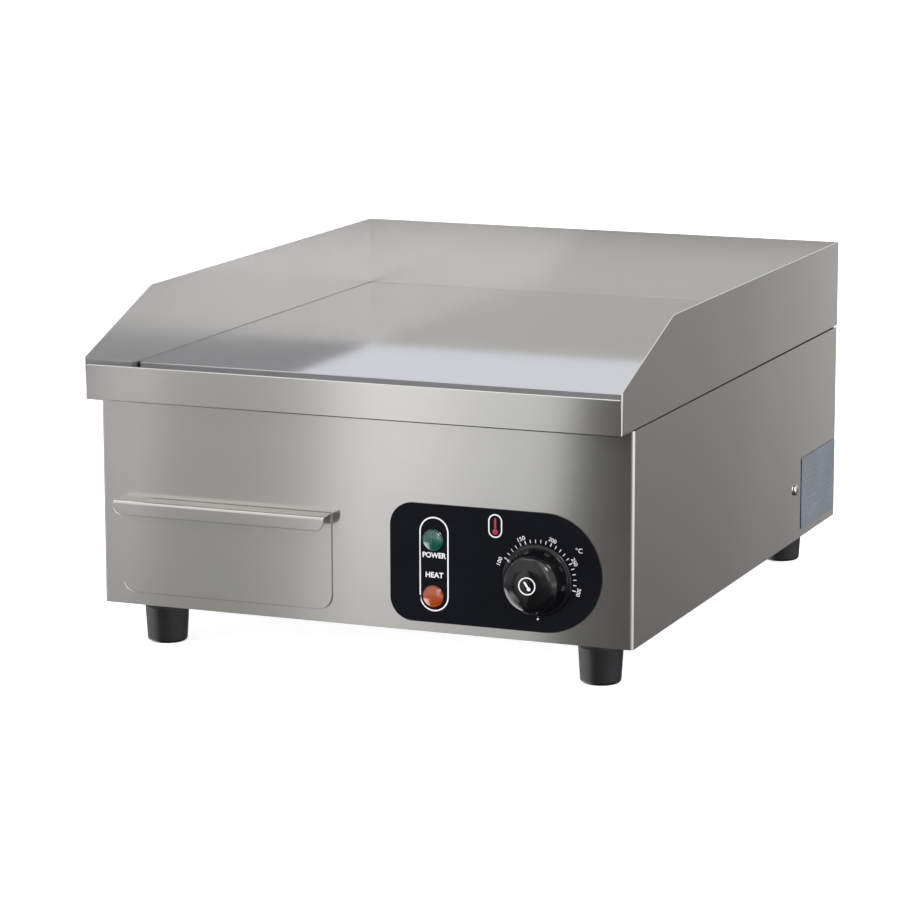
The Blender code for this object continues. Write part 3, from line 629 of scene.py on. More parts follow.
def rounded(corners: Sequence[Point], step: float = 6.0) -> list[Pair]:
    """An outline with an arc at each corner that has a radius.

    Args:
        corners: The (a, b, radius) of each corner, in order.
        step: The most that an arc turns between two points, in degrees.

    Returns:
        The outline's points.
    """
    points: list[Pair] = []
    count = len(corners)
    for i, (a, b, radius) in enumerate(corners):
        corner = Vector((a, b))
        if radius <= 0:
            points.append((a, b))
            continue
        before = (Vector(corners[i - 1][:2]) - corner).normalized()
        after = (Vector(corners[(i + 1) % count][:2]) - corner).normalized()
        opening = before.angle(after)
        middle = corner + (before + after).normalized() * radius / math.sin(opening / 2)
        first = corner + before * radius / math.tan(opening / 2) - middle
        last = corner + after * radius / math.tan(opening / 2) - middle
        start = math.atan2(first.y, first.x)
        sweep = math.atan2(last.y, last.x) - start
        sweep = (sweep + math.pi) % (2 * math.pi) - math.pi
        steps = max(2, math.ceil(abs(math.degrees(sweep)) / step))
        for angle in swept(sweep, steps):
            a, b = math.cos(start + angle), math.sin(start + angle)
            points.append((middle.x + radius * a, middle.y + radius * b))
    return points


def rectangle(low: Pair, high: Pair, radius: float = 0.0) -> list[Pair]:
    """A rectangle's outline between two corners, its own corners round."""
    (a, b), (c, d) = low, high
    return rounded([(a, b, radius), (c, b, radius), (c, d, radius), (a, d, radius)])


def circle(middle: Pair, radius: float, count: int = 64) -> list[Pair]:
    """A circle's outline."""
    angles = swept(2 * math.pi, count)[:-1]
    return [(middle[0] + radius * math.cos(a), middle[1] + radius * math.sin(a)) for a in angles]


def polar(middle: Pair, radius: float, degrees: float) -> Pair:
    """A point at a distance and an angle from a middle."""
    angle = math.radians(degrees)
    return middle[0] + radius * math.cos(angle), middle[1] + radius * math.sin(angle)


def about(points: Iterable[Pair], middle: Pair, degrees: float) -> list[Pair]:
    """Points given about the origin, turned and then moved to a middle."""
    cos, sin = math.cos(math.radians(degrees)), math.sin(math.radians(degrees))
    return [(middle[0] + a * cos - b * sin, middle[1] + a * sin + b * cos) for a, b in points]


def sheet_section(path: Sequence[Pair], thick: float, radius: float, step: float = 6.0) -> list[Pair]:
    """The section of a bent sheet.

    Args:
        path: The corners of its outer face.
        thick: The sheet's thickness, to the left of the path.
        radius: The outer radius of each bend.
        step: The most that a bend turns between two points, in degrees.

    Returns:
        The closed outline.
    """
    corners = [(*point, radius) for point in path]
    corners[0], corners[-1] = (*path[0], 0.0), (*path[-1], 0.0)
    face = [Vector(point) for point in rounded(corners, step)]
    inner = []
    for i, point in enumerate(face):
        before = (point - face[i - 1]).normalized() if i else Vector((0.0, 0.0))
        after = (face[i + 1] - point).normalized() if i + 1 < len(face) else Vector((0.0, 0.0))
        along = (before + after).normalized()
        across = Vector((-along.y, along.x))
        lean = across.dot(Vector((-after.y, after.x)) if i == 0 else Vector((-before.y, before.x)))
        inner.append(point + across * thick / lean)
    return [tuple(p) for p in face] + [tuple(p) for p in reversed(inner)]


def corner_waste(corner: Pair, inward: Pair, radius: float, steps: int = 14) -> list[Pair]:
    """The outline of what a round corner takes away.

    Args:
        corner: The sharp corner.
        inward: The signs of the two directions into the sheet.
        radius: The corner's radius.
        steps: How many flats the arc has.

    Returns:
        The corner less a quarter disc, and a little beyond the sheet's edges.
    """
    (a, b), (u, v) = corner, inward
    beyond = 0.001
    points = [(a - u * beyond, b - v * beyond), (a + u * radius, b - v * beyond)]
    for angle in swept(math.pi / 2, steps):
        points.append((a + u * radius * (1 - math.sin(angle)), b + v * radius * (1 - math.cos(angle))))
    points.append((a - u * beyond, b + v * radius))
    return points


def smooth_path(points: Sequence[Point], between: int = 8) -> list[Vector]:
    """A smooth curve.

    Args:
        points: The points that it goes through.
        between: How many steps it takes from each to the next.

    Returns:
        Its points.
    """
    nodes = [Vector(p) for p in points]
    nodes = [2 * nodes[0] - nodes[1]] + nodes + [2 * nodes[-1] - nodes[-2]]
    path = []
    for a, b, c, d in zip(nodes, nodes[1:], nodes[2:], nodes[3:]):
        for k in range(between):
            t = k / between
            path.append(0.5 * (2 * b + (c - a) * t + (2 * a - 5 * b + 4 * c - d) * t**2
                               + (3 * b - a - 3 * c + d) * t**3))
    path.append(nodes[-2])
    return path


class Form:
    """A mesh under construction: one or more closed shells, in metres."""

    def __init__(self) -> None:
        """Starts with nothing."""
        self.mesh = bmesh.new()

    def block(self, low: Point, high: Point) -> Form:
        """Adds a box.

        Args:
            low: Its lowest corner.
            high: Its highest corner.

        Returns:
            This form.
        """
        size, middle = Vector(high) - Vector(low), (Vector(high) + Vector(low)) / 2
        matrix = Matrix.Translation(middle) @ Matrix.Diagonal((*size, 1.0))
        bmesh.ops.create_cube(self.mesh, size=1.0, matrix=matrix)
        return self

    def prism(self, outline: Sequence[Pair], axis: Axis, start: float, end: float) -> Form:
        """Adds an outline extruded along an axis.

        Args:
            outline: Its points: (y, z) along X, (x, z) along Y, (x, y) along Z.
            axis: The direction of the extrusion.
            start: Where it starts on the axis.
            end: Where it ends.

        Returns:
            This form.
        """
        near = [self.mesh.verts.new(axis.place(a, b, start)) for a, b in outline]
        far = [self.mesh.verts.new(axis.place(a, b, end)) for a, b in outline]
        made = [self.mesh.faces.new(near), self.mesh.faces.new(far)]
        for i in range(len(outline)):
            k = (i + 1) % len(outline)
            made.append(self.mesh.faces.new((near[i], near[k], far[k], far[i])))
        bmesh.ops.recalc_face_normals(self.mesh, faces=made)
        return self

    def band(self, outer: Sequence[Pair], inner: Sequence[Pair], axis: Axis, start: float,
             end: float) -> Form:
        """Adds the closed band between two outlines of as many points as each other, extruded.

        Args:
            outer: The band's outer edge.
            inner: Its inner edge.
            axis: The direction of the extrusion.
            start: Where it starts on the axis.
            end: Where it ends.

        Returns:
            This form.
        """
        rings = [[self.mesh.verts.new(axis.place(a, b, t)) for a, b in outline]
                 for outline, t in ((outer, start), (outer, end), (inner, end), (inner, start))]
        self._joined(rings, closed=True)
        return self

    def turned(self, profile: Sequence[Pair], centre: Point, direction: Point, segments: int = 72) -> Form:
        """Adds a closed profile turned about an axis.

        Args:
            profile: The (radius, distance) points.
            centre: The point of the axis that distances are counted from.
            direction: The axis's direction.
            segments: How many flats go round.

        Returns:
            This form.
        """
        turn = Vector(direction).to_track_quat("Z", "Y").to_matrix().to_4x4()
        to_place = Matrix.Translation(Vector(centre)) @ turn
        rings = []
        for radius, distance in profile:
            round_points = circle((0.0, 0.0), radius, segments) if radius > 1e-9 else [(0.0, 0.0)]
            rings.append([self.mesh.verts.new(to_place @ Vector((a, b, distance))) for a, b in round_points])
        self._joined(rings, closed=True)
        return self

    def tube(self, path: Sequence[Vector], radii: float | Sequence[float], sides: int = 24) -> Form:
        """Adds a round tube or wire along a path, its ends closed.

        Args:
            path: The points of its middle line.
            radii: Its radius, or one for each point.
            sides: How many flats go round.

        Returns:
            This form.
        """
        points = [Vector(p) for p in path]
        sizes = [radii] * len(points) if isinstance(radii, float) else list(radii)
        rings, across = [], None
        for i, point in enumerate(points):
            along = (points[min(i + 1, len(points) - 1)] - points[max(i - 1, 0)]).normalized()
            if across is None:
                across = along.orthogonal().normalized()
            across = (across - along * across.dot(along)).normalized()
            other = along.cross(across)
            rings.append([
                self.mesh.verts.new(point + (across * a + other * b) * sizes[i])
                for a, b in circle((0.0, 0.0), 1.0, sides)
            ])
        self._joined(rings, closed=False)
        for ring in (rings[0], rings[-1]):
            self.mesh.faces.new(ring)
        bmesh.ops.recalc_face_normals(self.mesh, faces=self.mesh.faces)
        return self

    def _joined(self, rings: Sequence[Sequence[bmesh.types.BMVert]], closed: bool) -> None:
        """Adds the faces between rings of points, where a ring of one point is a tip.

        Args:
            rings: The rings, in order.
            closed: Whether the last one joins the first.
        """
        made = []
        following = list(rings[1:]) + list(rings[:1]) if closed else list(rings[1:])
        for this, after in zip(rings, following):
            n, m = len(this), len(after)
            for i in range(max(n, m)):
                k = i + 1
                corners = list(dict.fromkeys((this[i % n], this[k % n], after[k % m], after[i % m])))
                if len(corners) > 2:
                    made.append(self.mesh.faces.new(corners))
        bmesh.ops.recalc_face_normals(self.mesh, faces=made)

    def lettering(self, text: str, middle: Point, height: float, width: float, degrees: float = 0.0,
                  bold: float = 0.0) -> Form:
        """Adds text that reads along X on a face that looks towards the cook.

        Args:
            text: Figures or a plain word.
            middle: Its middle, on the face.
            height: The height of its capitals.
            width: How wide it is in all.
            degrees: How far it is turned, anticlockwise.
            bold: How much its strokes are thickened on each side.

        Returns:
            This form.
        """
        curve = bpy.data.curves.new("lettering", "FONT")
        curve.body = text
        curve.align_x, curve.align_y = "CENTER", "CENTER"
        curve.size = height
        curve.offset = bold
        curve.extrude = INK / 2
        holder = bpy.data.objects.new("lettering", curve)
        bpy.context.scene.collection.objects.link(holder)
        bpy.context.view_layer.update()
        upright = Matrix.Rotation(math.pi / 2, 4, "X")
        spin = Matrix.Rotation(math.radians(-degrees), 4, "Y")
        fitted = Matrix.Diagonal((width / holder.dimensions.x, height / holder.dimensions.y, 1.0, 1.0))
        holder.matrix_world = Matrix.Translation(middle) @ spin @ upright @ fitted
        graph = bpy.context.evaluated_depsgraph_get()
        flat = bpy.data.meshes.new_from_object(holder.evaluated_get(graph))
        flat.transform(holder.matrix_world)
        letters = bmesh.new()
        letters.from_mesh(flat)
        bmesh.ops.remove_doubles(letters, verts=letters.verts, dist=1e-7)
        letters.to_mesh(flat)
        letters.free()
        self.mesh.from_mesh(flat)
        bpy.data.meshes.remove(flat)
        bpy.data.objects.remove(holder)
        bpy.data.curves.remove(curve)
        return self

    def softened(self, width: float, segments: int = 2, sharper: float = 60.0,
                 chosen: Callable[[Vector], bool] | None = None) -> Form:
        """Rounds the edges that are sharper than an angle.

        Args:
            width: The width of the rounding.
            segments: How many flats it has.
            sharper: The least angle between an edge's faces, in degrees.
            chosen: Says whether an edge is rounded, from its middle.

        Returns:
            This form.
        """
        edges = [
            e for e in self.mesh.edges
            if e.is_manifold and e.calc_face_angle(0.0) > math.radians(sharper)
            and (chosen is None or chosen((e.verts[0].co + e.verts[1].co) / 2))
        ]
        bmesh.ops.bevel(self.mesh, geom=edges, offset=width, segments=segments, profile=0.5,
                        affect="EDGES", clamp_overlap=True)
        return self

    def minus(self, *others: Form) -> Form:
        """Takes other forms away from this one."""
        return self._combined(others, "DIFFERENCE")

    def plus(self, *others: Form) -> Form:
        """Makes other forms part of this one."""
        return self._combined(others, "UNION")

    def _combined(self, others: Iterable[Form], operation: str) -> Form:
        """An exact Boolean with each of the others in turn.

        Args:
            others: The forms, which are used up.
            operation: DIFFERENCE or UNION.

        Returns:
            This form.
        """
        target = self._holder()
        helpers = [other._holder() for other in others]
        for helper in helpers:
            modifier = target.modifiers.new("cut", "BOOLEAN")
            modifier.operation = operation
            modifier.solver = "EXACT"
            modifier.object = helper
        bpy.context.view_layer.update()
        graph = bpy.context.evaluated_depsgraph_get()
        result = bpy.data.meshes.new_from_object(target.evaluated_get(graph))
        self.mesh = bmesh.new()
        self.mesh.from_mesh(result)
        bpy.data.meshes.remove(result)
        for used in (target, *helpers):
            bpy.data.meshes.remove(used.data)
        return self

    def _holder(self) -> bpy.types.Object:
        """Puts the form in a passing object, for a Boolean.

        Returns:
            The object.
        """
        mesh = bpy.data.meshes.new("passing")
        self.mesh.to_mesh(mesh)
        self.mesh.free()
        holder = bpy.data.objects.new("passing", mesh)
        bpy.context.scene.collection.objects.link(holder)
        return holder

    def piece(self, name: str, finish: Finish, body: Body = Body.GRIDDLE, replaced: Sequence[str] = (),
              smooth: float = 32.0) -> bpy.types.Object:
        """Makes the form a piece of the griddle.

        Args:
            name: The piece's name.
            finish: What it is finished in.
            body: What it moves with.
            replaced: The frame's nodes that it stands for.
            smooth: Edges sharper than this many degrees stay sharp.

        Returns:
            The piece's object.
        """
        mesh = bpy.data.meshes.new(name)
        self.mesh.to_mesh(mesh)
        self.mesh.free()
        mesh.shade_smooth()
        mesh.set_sharp_from_angle(angle=math.radians(smooth))
        mesh.materials.append(finish.material())
        made = bpy.data.objects.new(name, mesh)
        bpy.context.scene.collection.objects.link(made)
        weighted = made.modifiers.new("even_shading", "WEIGHTED_NORMAL")
        weighted.keep_sharp = True
        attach(made, body.value)
        if replaced:
            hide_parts(*replaced)
        log.info("%s: %d faces, %s", name, len(mesh.polygons), finish.name)
        return made


def bar(middle: Pair, radius: float, axis: Axis, start: float, end: float, count: int = 40) -> Form:
    """A round bar along an axis, which cuts a hole."""
    return Form().prism(circle(middle, radius, count), axis, start, end)


def bars(holes: Iterable[tuple[str, float]], axis: Axis, start: float, end: float,
         count: int = 48) -> list[Form]:
    """Round bars through the middles of some of the frame's solids.

    Args:
        holes: The solids' nodes, and the bars' radii.
        axis: The bars' direction.
        start: Where they start on the axis.
        end: Where they end.
        count: How many flats go round.

    Returns:
        The bars.
    """
    return [bar(axis.pair(middle_of(node)), radius, axis, start, end, count) for node, radius in holes]


def slab(node: str, axis: Axis, corner: float) -> Form:
    """One of the frame's solids as a plate.

    Args:
        node: The solid's node.
        axis: The direction that its round corners are seen in.
        corner: Their radius.

    Returns:
        The plate.
    """
    low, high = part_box(node)
    outline = rectangle(axis.pair(low), axis.pair(high), corner)
    return Form().prism(outline, axis, axis.reach(low), axis.reach(high))


def well(node: str, corner: float) -> Form:
    """What is taken out of one of the frame's solids to make it a tray of sheet, open at the top.

    Args:
        node: The solid's node.
        corner: The radius of its inside corners.

    Returns:
        The form to take away.
    """
    low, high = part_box(node)
    inside = rectangle((low.x + SHEET, low.y + SHEET), (high.x - SHEET, high.y - SHEET), corner)
    return Form().prism(inside, Axis.Z, low.z + SHEET, high.z + OVER)


def thread(crest: float, root: float, pitch: float, ridges: int) -> list[Pair]:
    """A thread's half section.

    Args:
        crest: The radius of its ridges.
        root: The radius between them.
        pitch: From one ridge to the next.
        ridges: How many there are, down from the seat.

    Returns:
        The section's points, from the top.
    """
    profile = []
    for ridge in range(ridges):
        at = -pitch * ridge
        profile += [(crest, at - pitch * 0.2), (root, at - pitch * 0.5), (crest, at - pitch * 0.8)]
    return profile


def low_of(node: str) -> Vector:
    """The lowest corner of one of the frame's solids."""
    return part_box(node)[0]


def high_of(node: str) -> Vector:
    """The highest corner of one of the frame's solids."""
    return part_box(node)[1]


def middle_of(node: str) -> Vector:
    """The middle of one of the frame's solids."""
    return (low_of(node) + high_of(node)) / 2


# Sub-assemblies


class SubAssembly(ABC):
    """A part of the griddle that makes and dresses its own pieces."""

    @abstractmethod
    def build(self) -> None:
        """Makes the pieces."""


@dataclass
class Studio(SubAssembly):
    """The camera, the pale floor and the soft light."""

    aim: Point = (-0.0215, 0.001, 0.1047)
    distance: float = 2.8
    azimuth: float = 21.93
    elevation: float = 11.05
    roll: float = -0.084
    lens: float = 145.44
    floor_reach: float = 30.0
    # Each stop is a direction's share towards the right, and the room's light in that direction
    cook_low: tuple[Stop, ...] = (
        (-0.9, (0.75, 0.74, 0.73)), (-0.62, (0.62, 0.61, 0.6)),
        (-0.52, (0.22, 0.21, 0.2)), (-0.458, (0.4, 0.4, 0.39)),
        (-0.449, (0.9, 0.9, 0.9)), (-0.441, (0.5, 0.5, 0.49)), (-0.418, (0.48, 0.48, 0.46)),
        (-0.4055, (0.66, 0.66, 0.66)), (-0.394, (1.22, 1.22, 1.2)), (-0.38, (1.22, 1.22, 1.22)),
        (-0.3565, (0.92, 0.93, 0.93)), (-0.339, (0.94, 0.95, 0.94)), (-0.3355, (0.02, 0.02, 0.015)),
        (-0.313, (0.02, 0.015, 0.01)), (-0.304, (0.2, 0.18, 0.16)), (-0.204, (0.24, 0.22, 0.21)),
        (0.56, (0.55, 0.55, 0.56)), (0.85, (1.5, 1.5, 1.55)),
    )
    cook_high: tuple[Stop, ...] = (
        (-0.9, (0.6, 0.6, 0.6)), (-0.63, (0.95, 0.95, 0.95)), (-0.37, (1.1, 1.09, 1.07)),
        (0.05, (0.8, 0.8, 0.8)), (0.3, (2.3, 2.3, 2.36)), (0.5, (2.3, 2.3, 2.36)),
        (0.7, (1.2, 1.2, 1.22)), (0.95, (1.2, 1.2, 1.22)),
    )
    wall_low: tuple[Stop, ...] = (
        (-0.9, (0.6, 0.6, 0.6)), (-0.2, (0.62, 0.62, 0.63)), (0.25, (0.6, 0.6, 0.6)),
        (0.3, (0.25, 0.245, 0.228)), (0.45, (0.25, 0.245, 0.228)), (0.62, (0.55, 0.55, 0.54)),
        (0.78, (0.6, 0.6, 0.6)), (0.88, (1.5, 1.5, 1.55)),
    )
    wall_high: tuple[Stop, ...] = (
        (-0.9, (0.6, 0.6, 0.6)), (-0.6, (0.96, 0.98, 1.03)), (-0.2, (0.96, 0.98, 1.03)),
        (0.1, (0.9, 0.91, 0.95)), (0.3, (0.62, 0.63, 0.66)), (0.6, (0.62, 0.63, 0.66)),
        (0.95, (1.2, 1.2, 1.22)),
    )
    low_share: float = 0.4
    table_shine: float = 6.0

    def build(self) -> None:
        """Sets the scene round the griddle."""
        self._camera()
        self._floor()
        self._world()
        for name, place, size, power in (
            ("overhead_softbox", (-0.5, -0.6, 2.4), 1.6, 8.0),
            ("right_softbox", (1.9, -1.5, 2.1), 0.6, 18.0),
        ):
            self._softbox(name, Vector(place), size, power)
        bpy.context.scene.view_settings.view_transform = "Standard"

    def _camera(self) -> None:
        """A long lens, level with the top of the griddle's walls and a little above."""
        az, el = math.radians(self.azimuth), math.radians(self.elevation)
        back = Vector((math.sin(az) * math.cos(el), -math.cos(az) * math.cos(el), math.sin(el)))
        level = Vector((math.cos(az), math.sin(az), 0.0))
        upright = back.cross(level)
        frame_turn = Matrix((level, upright, back)).transposed()
        made = bpy.data.cameras.new("camera")
        made.lens = self.lens
        made.sensor_width = 36.0
        made.clip_end = 100.0
        camera = bpy.data.objects.new("camera", made)
        turn = frame_turn @ Matrix.Rotation(math.radians(self.roll), 3, "Z")
        camera.matrix_world = Matrix.Translation(Vector(self.aim) + back * self.distance) @ turn.to_4x4()
        bpy.context.scene.collection.objects.link(camera)
        bpy.context.scene.camera = camera

    def _floor(self) -> None:
        """A wide pale floor that the metal doesn't mirror."""
        reach, mesh = self.floor_reach, bpy.data.meshes.new("floor")
        corners = [(-reach, -reach, 0.0), (reach, -reach, 0.0), (reach, reach, 0.0), (-reach, reach, 0.0)]
        mesh.from_pydata(corners, [], [(0, 1, 2, 3)])
        mesh.materials.append(FLOOR.material())
        floor = bpy.data.objects.new("floor", mesh)
        floor.visible_glossy = False
        bpy.context.scene.collection.objects.link(floor)

    def _world(self) -> None:
        """Soft light from all round, brighter where the room's windows and walls are."""
        world = bpy.data.worlds.new("room")
        world.use_nodes = True
        bpy.context.scene.world = world
        graph = Graph(world.node_tree)
        direction = graph.node("ShaderNodeTexCoord", output="Generated")
        position = graph.part(direction, "X") * 0.5 + 0.5
        ramps = [
            graph.node("ShaderNodeValToRGB", {"stops": [(x / 2 + 0.5, c) for x, c in stops]}, {0: position})
            for stops in (self.cook_low, self.cook_high, self.wall_low, self.wall_high)
        ]
        behind = graph.part(direction, "Y").rising(-0.15, 0.15)
        low, high = graph.blend(behind, ramps[0], ramps[2]), graph.blend(behind, ramps[1], ramps[3])
        height = graph.part(direction, "Z")
        fading = height.rising(-0.66, -0.42) * self.low_share + height.rising(-0.3, -0.12) * 0.9
        table = (1.0 - height.rising(-0.4, -0.3)) * (1.0 - position.rising(0.25, 0.265)) * self.table_shine
        low = graph.node("ShaderNodeVectorMath", {"operation": "SCALE"}, {0: low, "Scale": fading + table})
        room = graph.blend(height.rising(-0.06, 0.06), low, high)
        seen = graph.node("ShaderNodeLightPath", output="Is Camera Ray")
        colour = graph.blend(seen, room, (1.0, 1.0, 1.0))
        shader = graph.node("ShaderNodeBackground", None, {"Color": colour, "Strength": 1.0})
        graph.end("ShaderNodeOutputWorld", shader)

    def _softbox(self, name: str, place: Vector, size: float, power: float) -> None:
        """A square soft light that looks at the griddle.

        Args:
            name: Its name.
            place: Where it stands.
            size: Its side.
            power: Its power, in watts.
        """
        light = bpy.data.lights.new(name, "AREA")
        light.size = size
        light.energy = power
        made = bpy.data.objects.new(name, light)
        made.location = place
        made.rotation_euler = (place - Vector(self.aim)).to_track_quat("Z", "Y").to_euler()
        bpy.context.scene.collection.objects.link(made)


@dataclass
class TopUnit(SubAssembly):
    """The cooking plate in its splash surround, with the fat trough, its drain and the seam below."""

    slant_run: float = 0.1056
    lip_top: float = 0.0252
    slant_low: float = 0.03
    apex: float = 0.008
    hem: float = 0.0013
    corner_bend: float = 0.0015
    lip_corner: float = 0.0025
    sheet_edge: float = 0.00018
    plate_edge: float = 0.0008
    plate_corner: float = 0.005
    notch: float = 0.0006
    # The opening under the plate: half its width, and its distance from the casing's front and the rear
    window: tuple[float, float, float] = (0.185, 0.07, 0.016)
    drain_hole: float = 0.011
    low: Vector = field(default_factory=lambda: low_of("splash_surround"))
    high: Vector = field(default_factory=lambda: high_of("splash_surround"))
    front: float = field(default_factory=lambda: low_of("body_wrap").y)
    drain: Vector = field(default_factory=lambda: middle_of("drain_spout"))

    def build(self) -> None:
        """Makes the surround, the plate, the drain and the gasket."""
        self._surround()
        self._plate()
        self._drain_spout()
        self._gasket()

    def _surround(self) -> None:
        """One bent and welded sheet: splash back, side walls, trough and hemmed lip."""
        half, face, rear = self.high.x, self.low.y, self.high.y
        bottom, top = self.low.z, self.high.z
        skirt = bottom + 0.0013
        floor = skirt + SHEET
        lip_top = bottom + self.lip_top
        back = self.front - GAP
        side = rounded([
            (face, bottom, SHEET * 0.95), (face, bottom + self.slant_low, 0.0),
            (face + self.slant_run, top, self.apex), (rear, top, SHEET * 0.8),
            (rear, skirt, 0.0), (back, skirt, 0.0), (back, bottom, 0.0),
        ], 3)
        inner, fold = half - SHEET, self.hem / 2
        hollow = [(face - OVER, top + OVER), (face - OVER, lip_top - fold)]
        hollow += [(face + fold - fold * math.cos(a), lip_top - fold + fold * math.sin(a))
                   for a in swept(math.pi, 16)]
        hollow += [(face + self.hem, lip_top - 0.01), (face + SHEET, lip_top - 0.0102)]
        hollow += rounded([(face + SHEET, lip_top - 0.0103, 0.0), (face + SHEET, floor, 0.002),
                           (rear - SHEET, floor, 0.002), (rear - SHEET, top + OVER, 0.0)])
        window_x, window_front, window_rear = self.window
        window = rectangle((-window_x, self.front + window_front), (window_x, rear - window_rear), 0.004)
        cuts = [
            Form().prism(hollow, Axis.X, -inner, inner),
            Form().block((-inner, face + SHEET, bottom - OVER), (inner, self.front + SHEET, skirt)),
            Form().prism(window, Axis.Z, bottom - OVER, floor + OVER),
            bar(Axis.Z.pair(self.drain), self.drain_hole, Axis.Z, skirt - OVER, floor + OVER, 64),
        ]
        for way in (-1, 1):
            upright = corner_waste((-way * half, face), (way, 1), self.corner_bend)
            lower = corner_waste((-way * half, bottom), (way, 1), self.lip_corner)
            cuts.append(Form().prism(upright, Axis.Z, bottom - OVER, top + OVER))
            cuts.append(Form().prism(lower, Axis.Y, face - OVER, back))
            near, far = sorted((-way * inner, -way * inner + way * self.notch))
            cuts.append(Form().block((near, face - OVER, lip_top - 0.0045),
                                     (far, face + self.hem + GAP, top + OVER)))
        shape = Form().prism(side, Axis.X, -half, half).minus(*cuts)
        shape.softened(self.sheet_edge, sharper=50.0)
        shape.piece("splash_surround_sheet", STEEL, replaced=["splash_surround"])

    def _plate(self) -> None:
        """The thick plate, its upper edge rounded over and its front corners turned."""
        low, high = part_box("griddle_plate")
        outline = rounded([(low.x, low.y, self.plate_corner), (high.x, low.y, self.plate_corner),
                           (high.x, high.y, 0.0015), (low.x, high.y, 0.0015)], 5)
        shape = Form().prism(outline, Axis.Z, low.z, high.z)
        shape.softened(self.plate_edge, 5, chosen=lambda middle: min(
            abs(middle.z - high.z), abs(middle.z - low.z)) < GAP)
        bolt_x = high_of("clamp_bolt_2").x - (high_of("clamp_bolt_2").x - low_of("clamp_bolt_2").x) / 2
        drilled = [(0, -0.002), (0.0033, -0.002), (0.0033, 0.0075), (0, 0.0095)]
        holes = [Form().turned(drilled, (x, middle_of(clamp).y, low.z), UP, 32)
                 for clamp in ("element_clamp_front", "element_clamp_rear") for x in (-bolt_x, bolt_x)]
        shape.minus(*holes).piece("cooking_plate", PLATE, replaced=["griddle_plate"])

    def _drain_spout(self) -> None:
        """The pressed collar and the short tube that the fat runs down."""
        low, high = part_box("drain_spout")
        collar = (high.x - low.x) / 2
        outside, inside = self.drain_hole - GAP, self.drain_hole - GAP - 0.0012
        under, end = -0.0013, low.z - high.z
        flat = under - SHEET
        profile = [
            (inside + 0.0004, 0.0), (outside - 0.0002, 0.0), (outside, -0.0002), (outside, under),
            (collar - 0.0003, under), (collar, under - 0.0003), (collar, flat + 0.0003),
            (collar - 0.0003, flat), (outside + 0.0006, flat), (outside, flat - 0.0006),
            (outside, end + 0.0003), (outside - 0.0003, end), (inside, end), (inside, -0.0004),
        ]
        shape = Form().turned(profile, (self.drain.x, self.drain.y, high.z), UP)
        shape.piece("drain_tube", STEEL, replaced=["drain_spout"])

    def _gasket(self) -> None:
        """The black bead between the casing and the top unit."""
        low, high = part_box("surround_gasket")
        width = 0.01
        outer = rectangle((low.x, low.y), (high.x, high.y), 0.0012)
        inner = rectangle((low.x + width, low.y + width), (high.x - width, high.y - width), 0.003)
        shape = Form().band(outer, inner, Axis.Z, low.z, high.z).softened(0.00015, sharper=30.0)
        shape.piece("seam_gasket", SILICONE, replaced=["surround_gasket"])


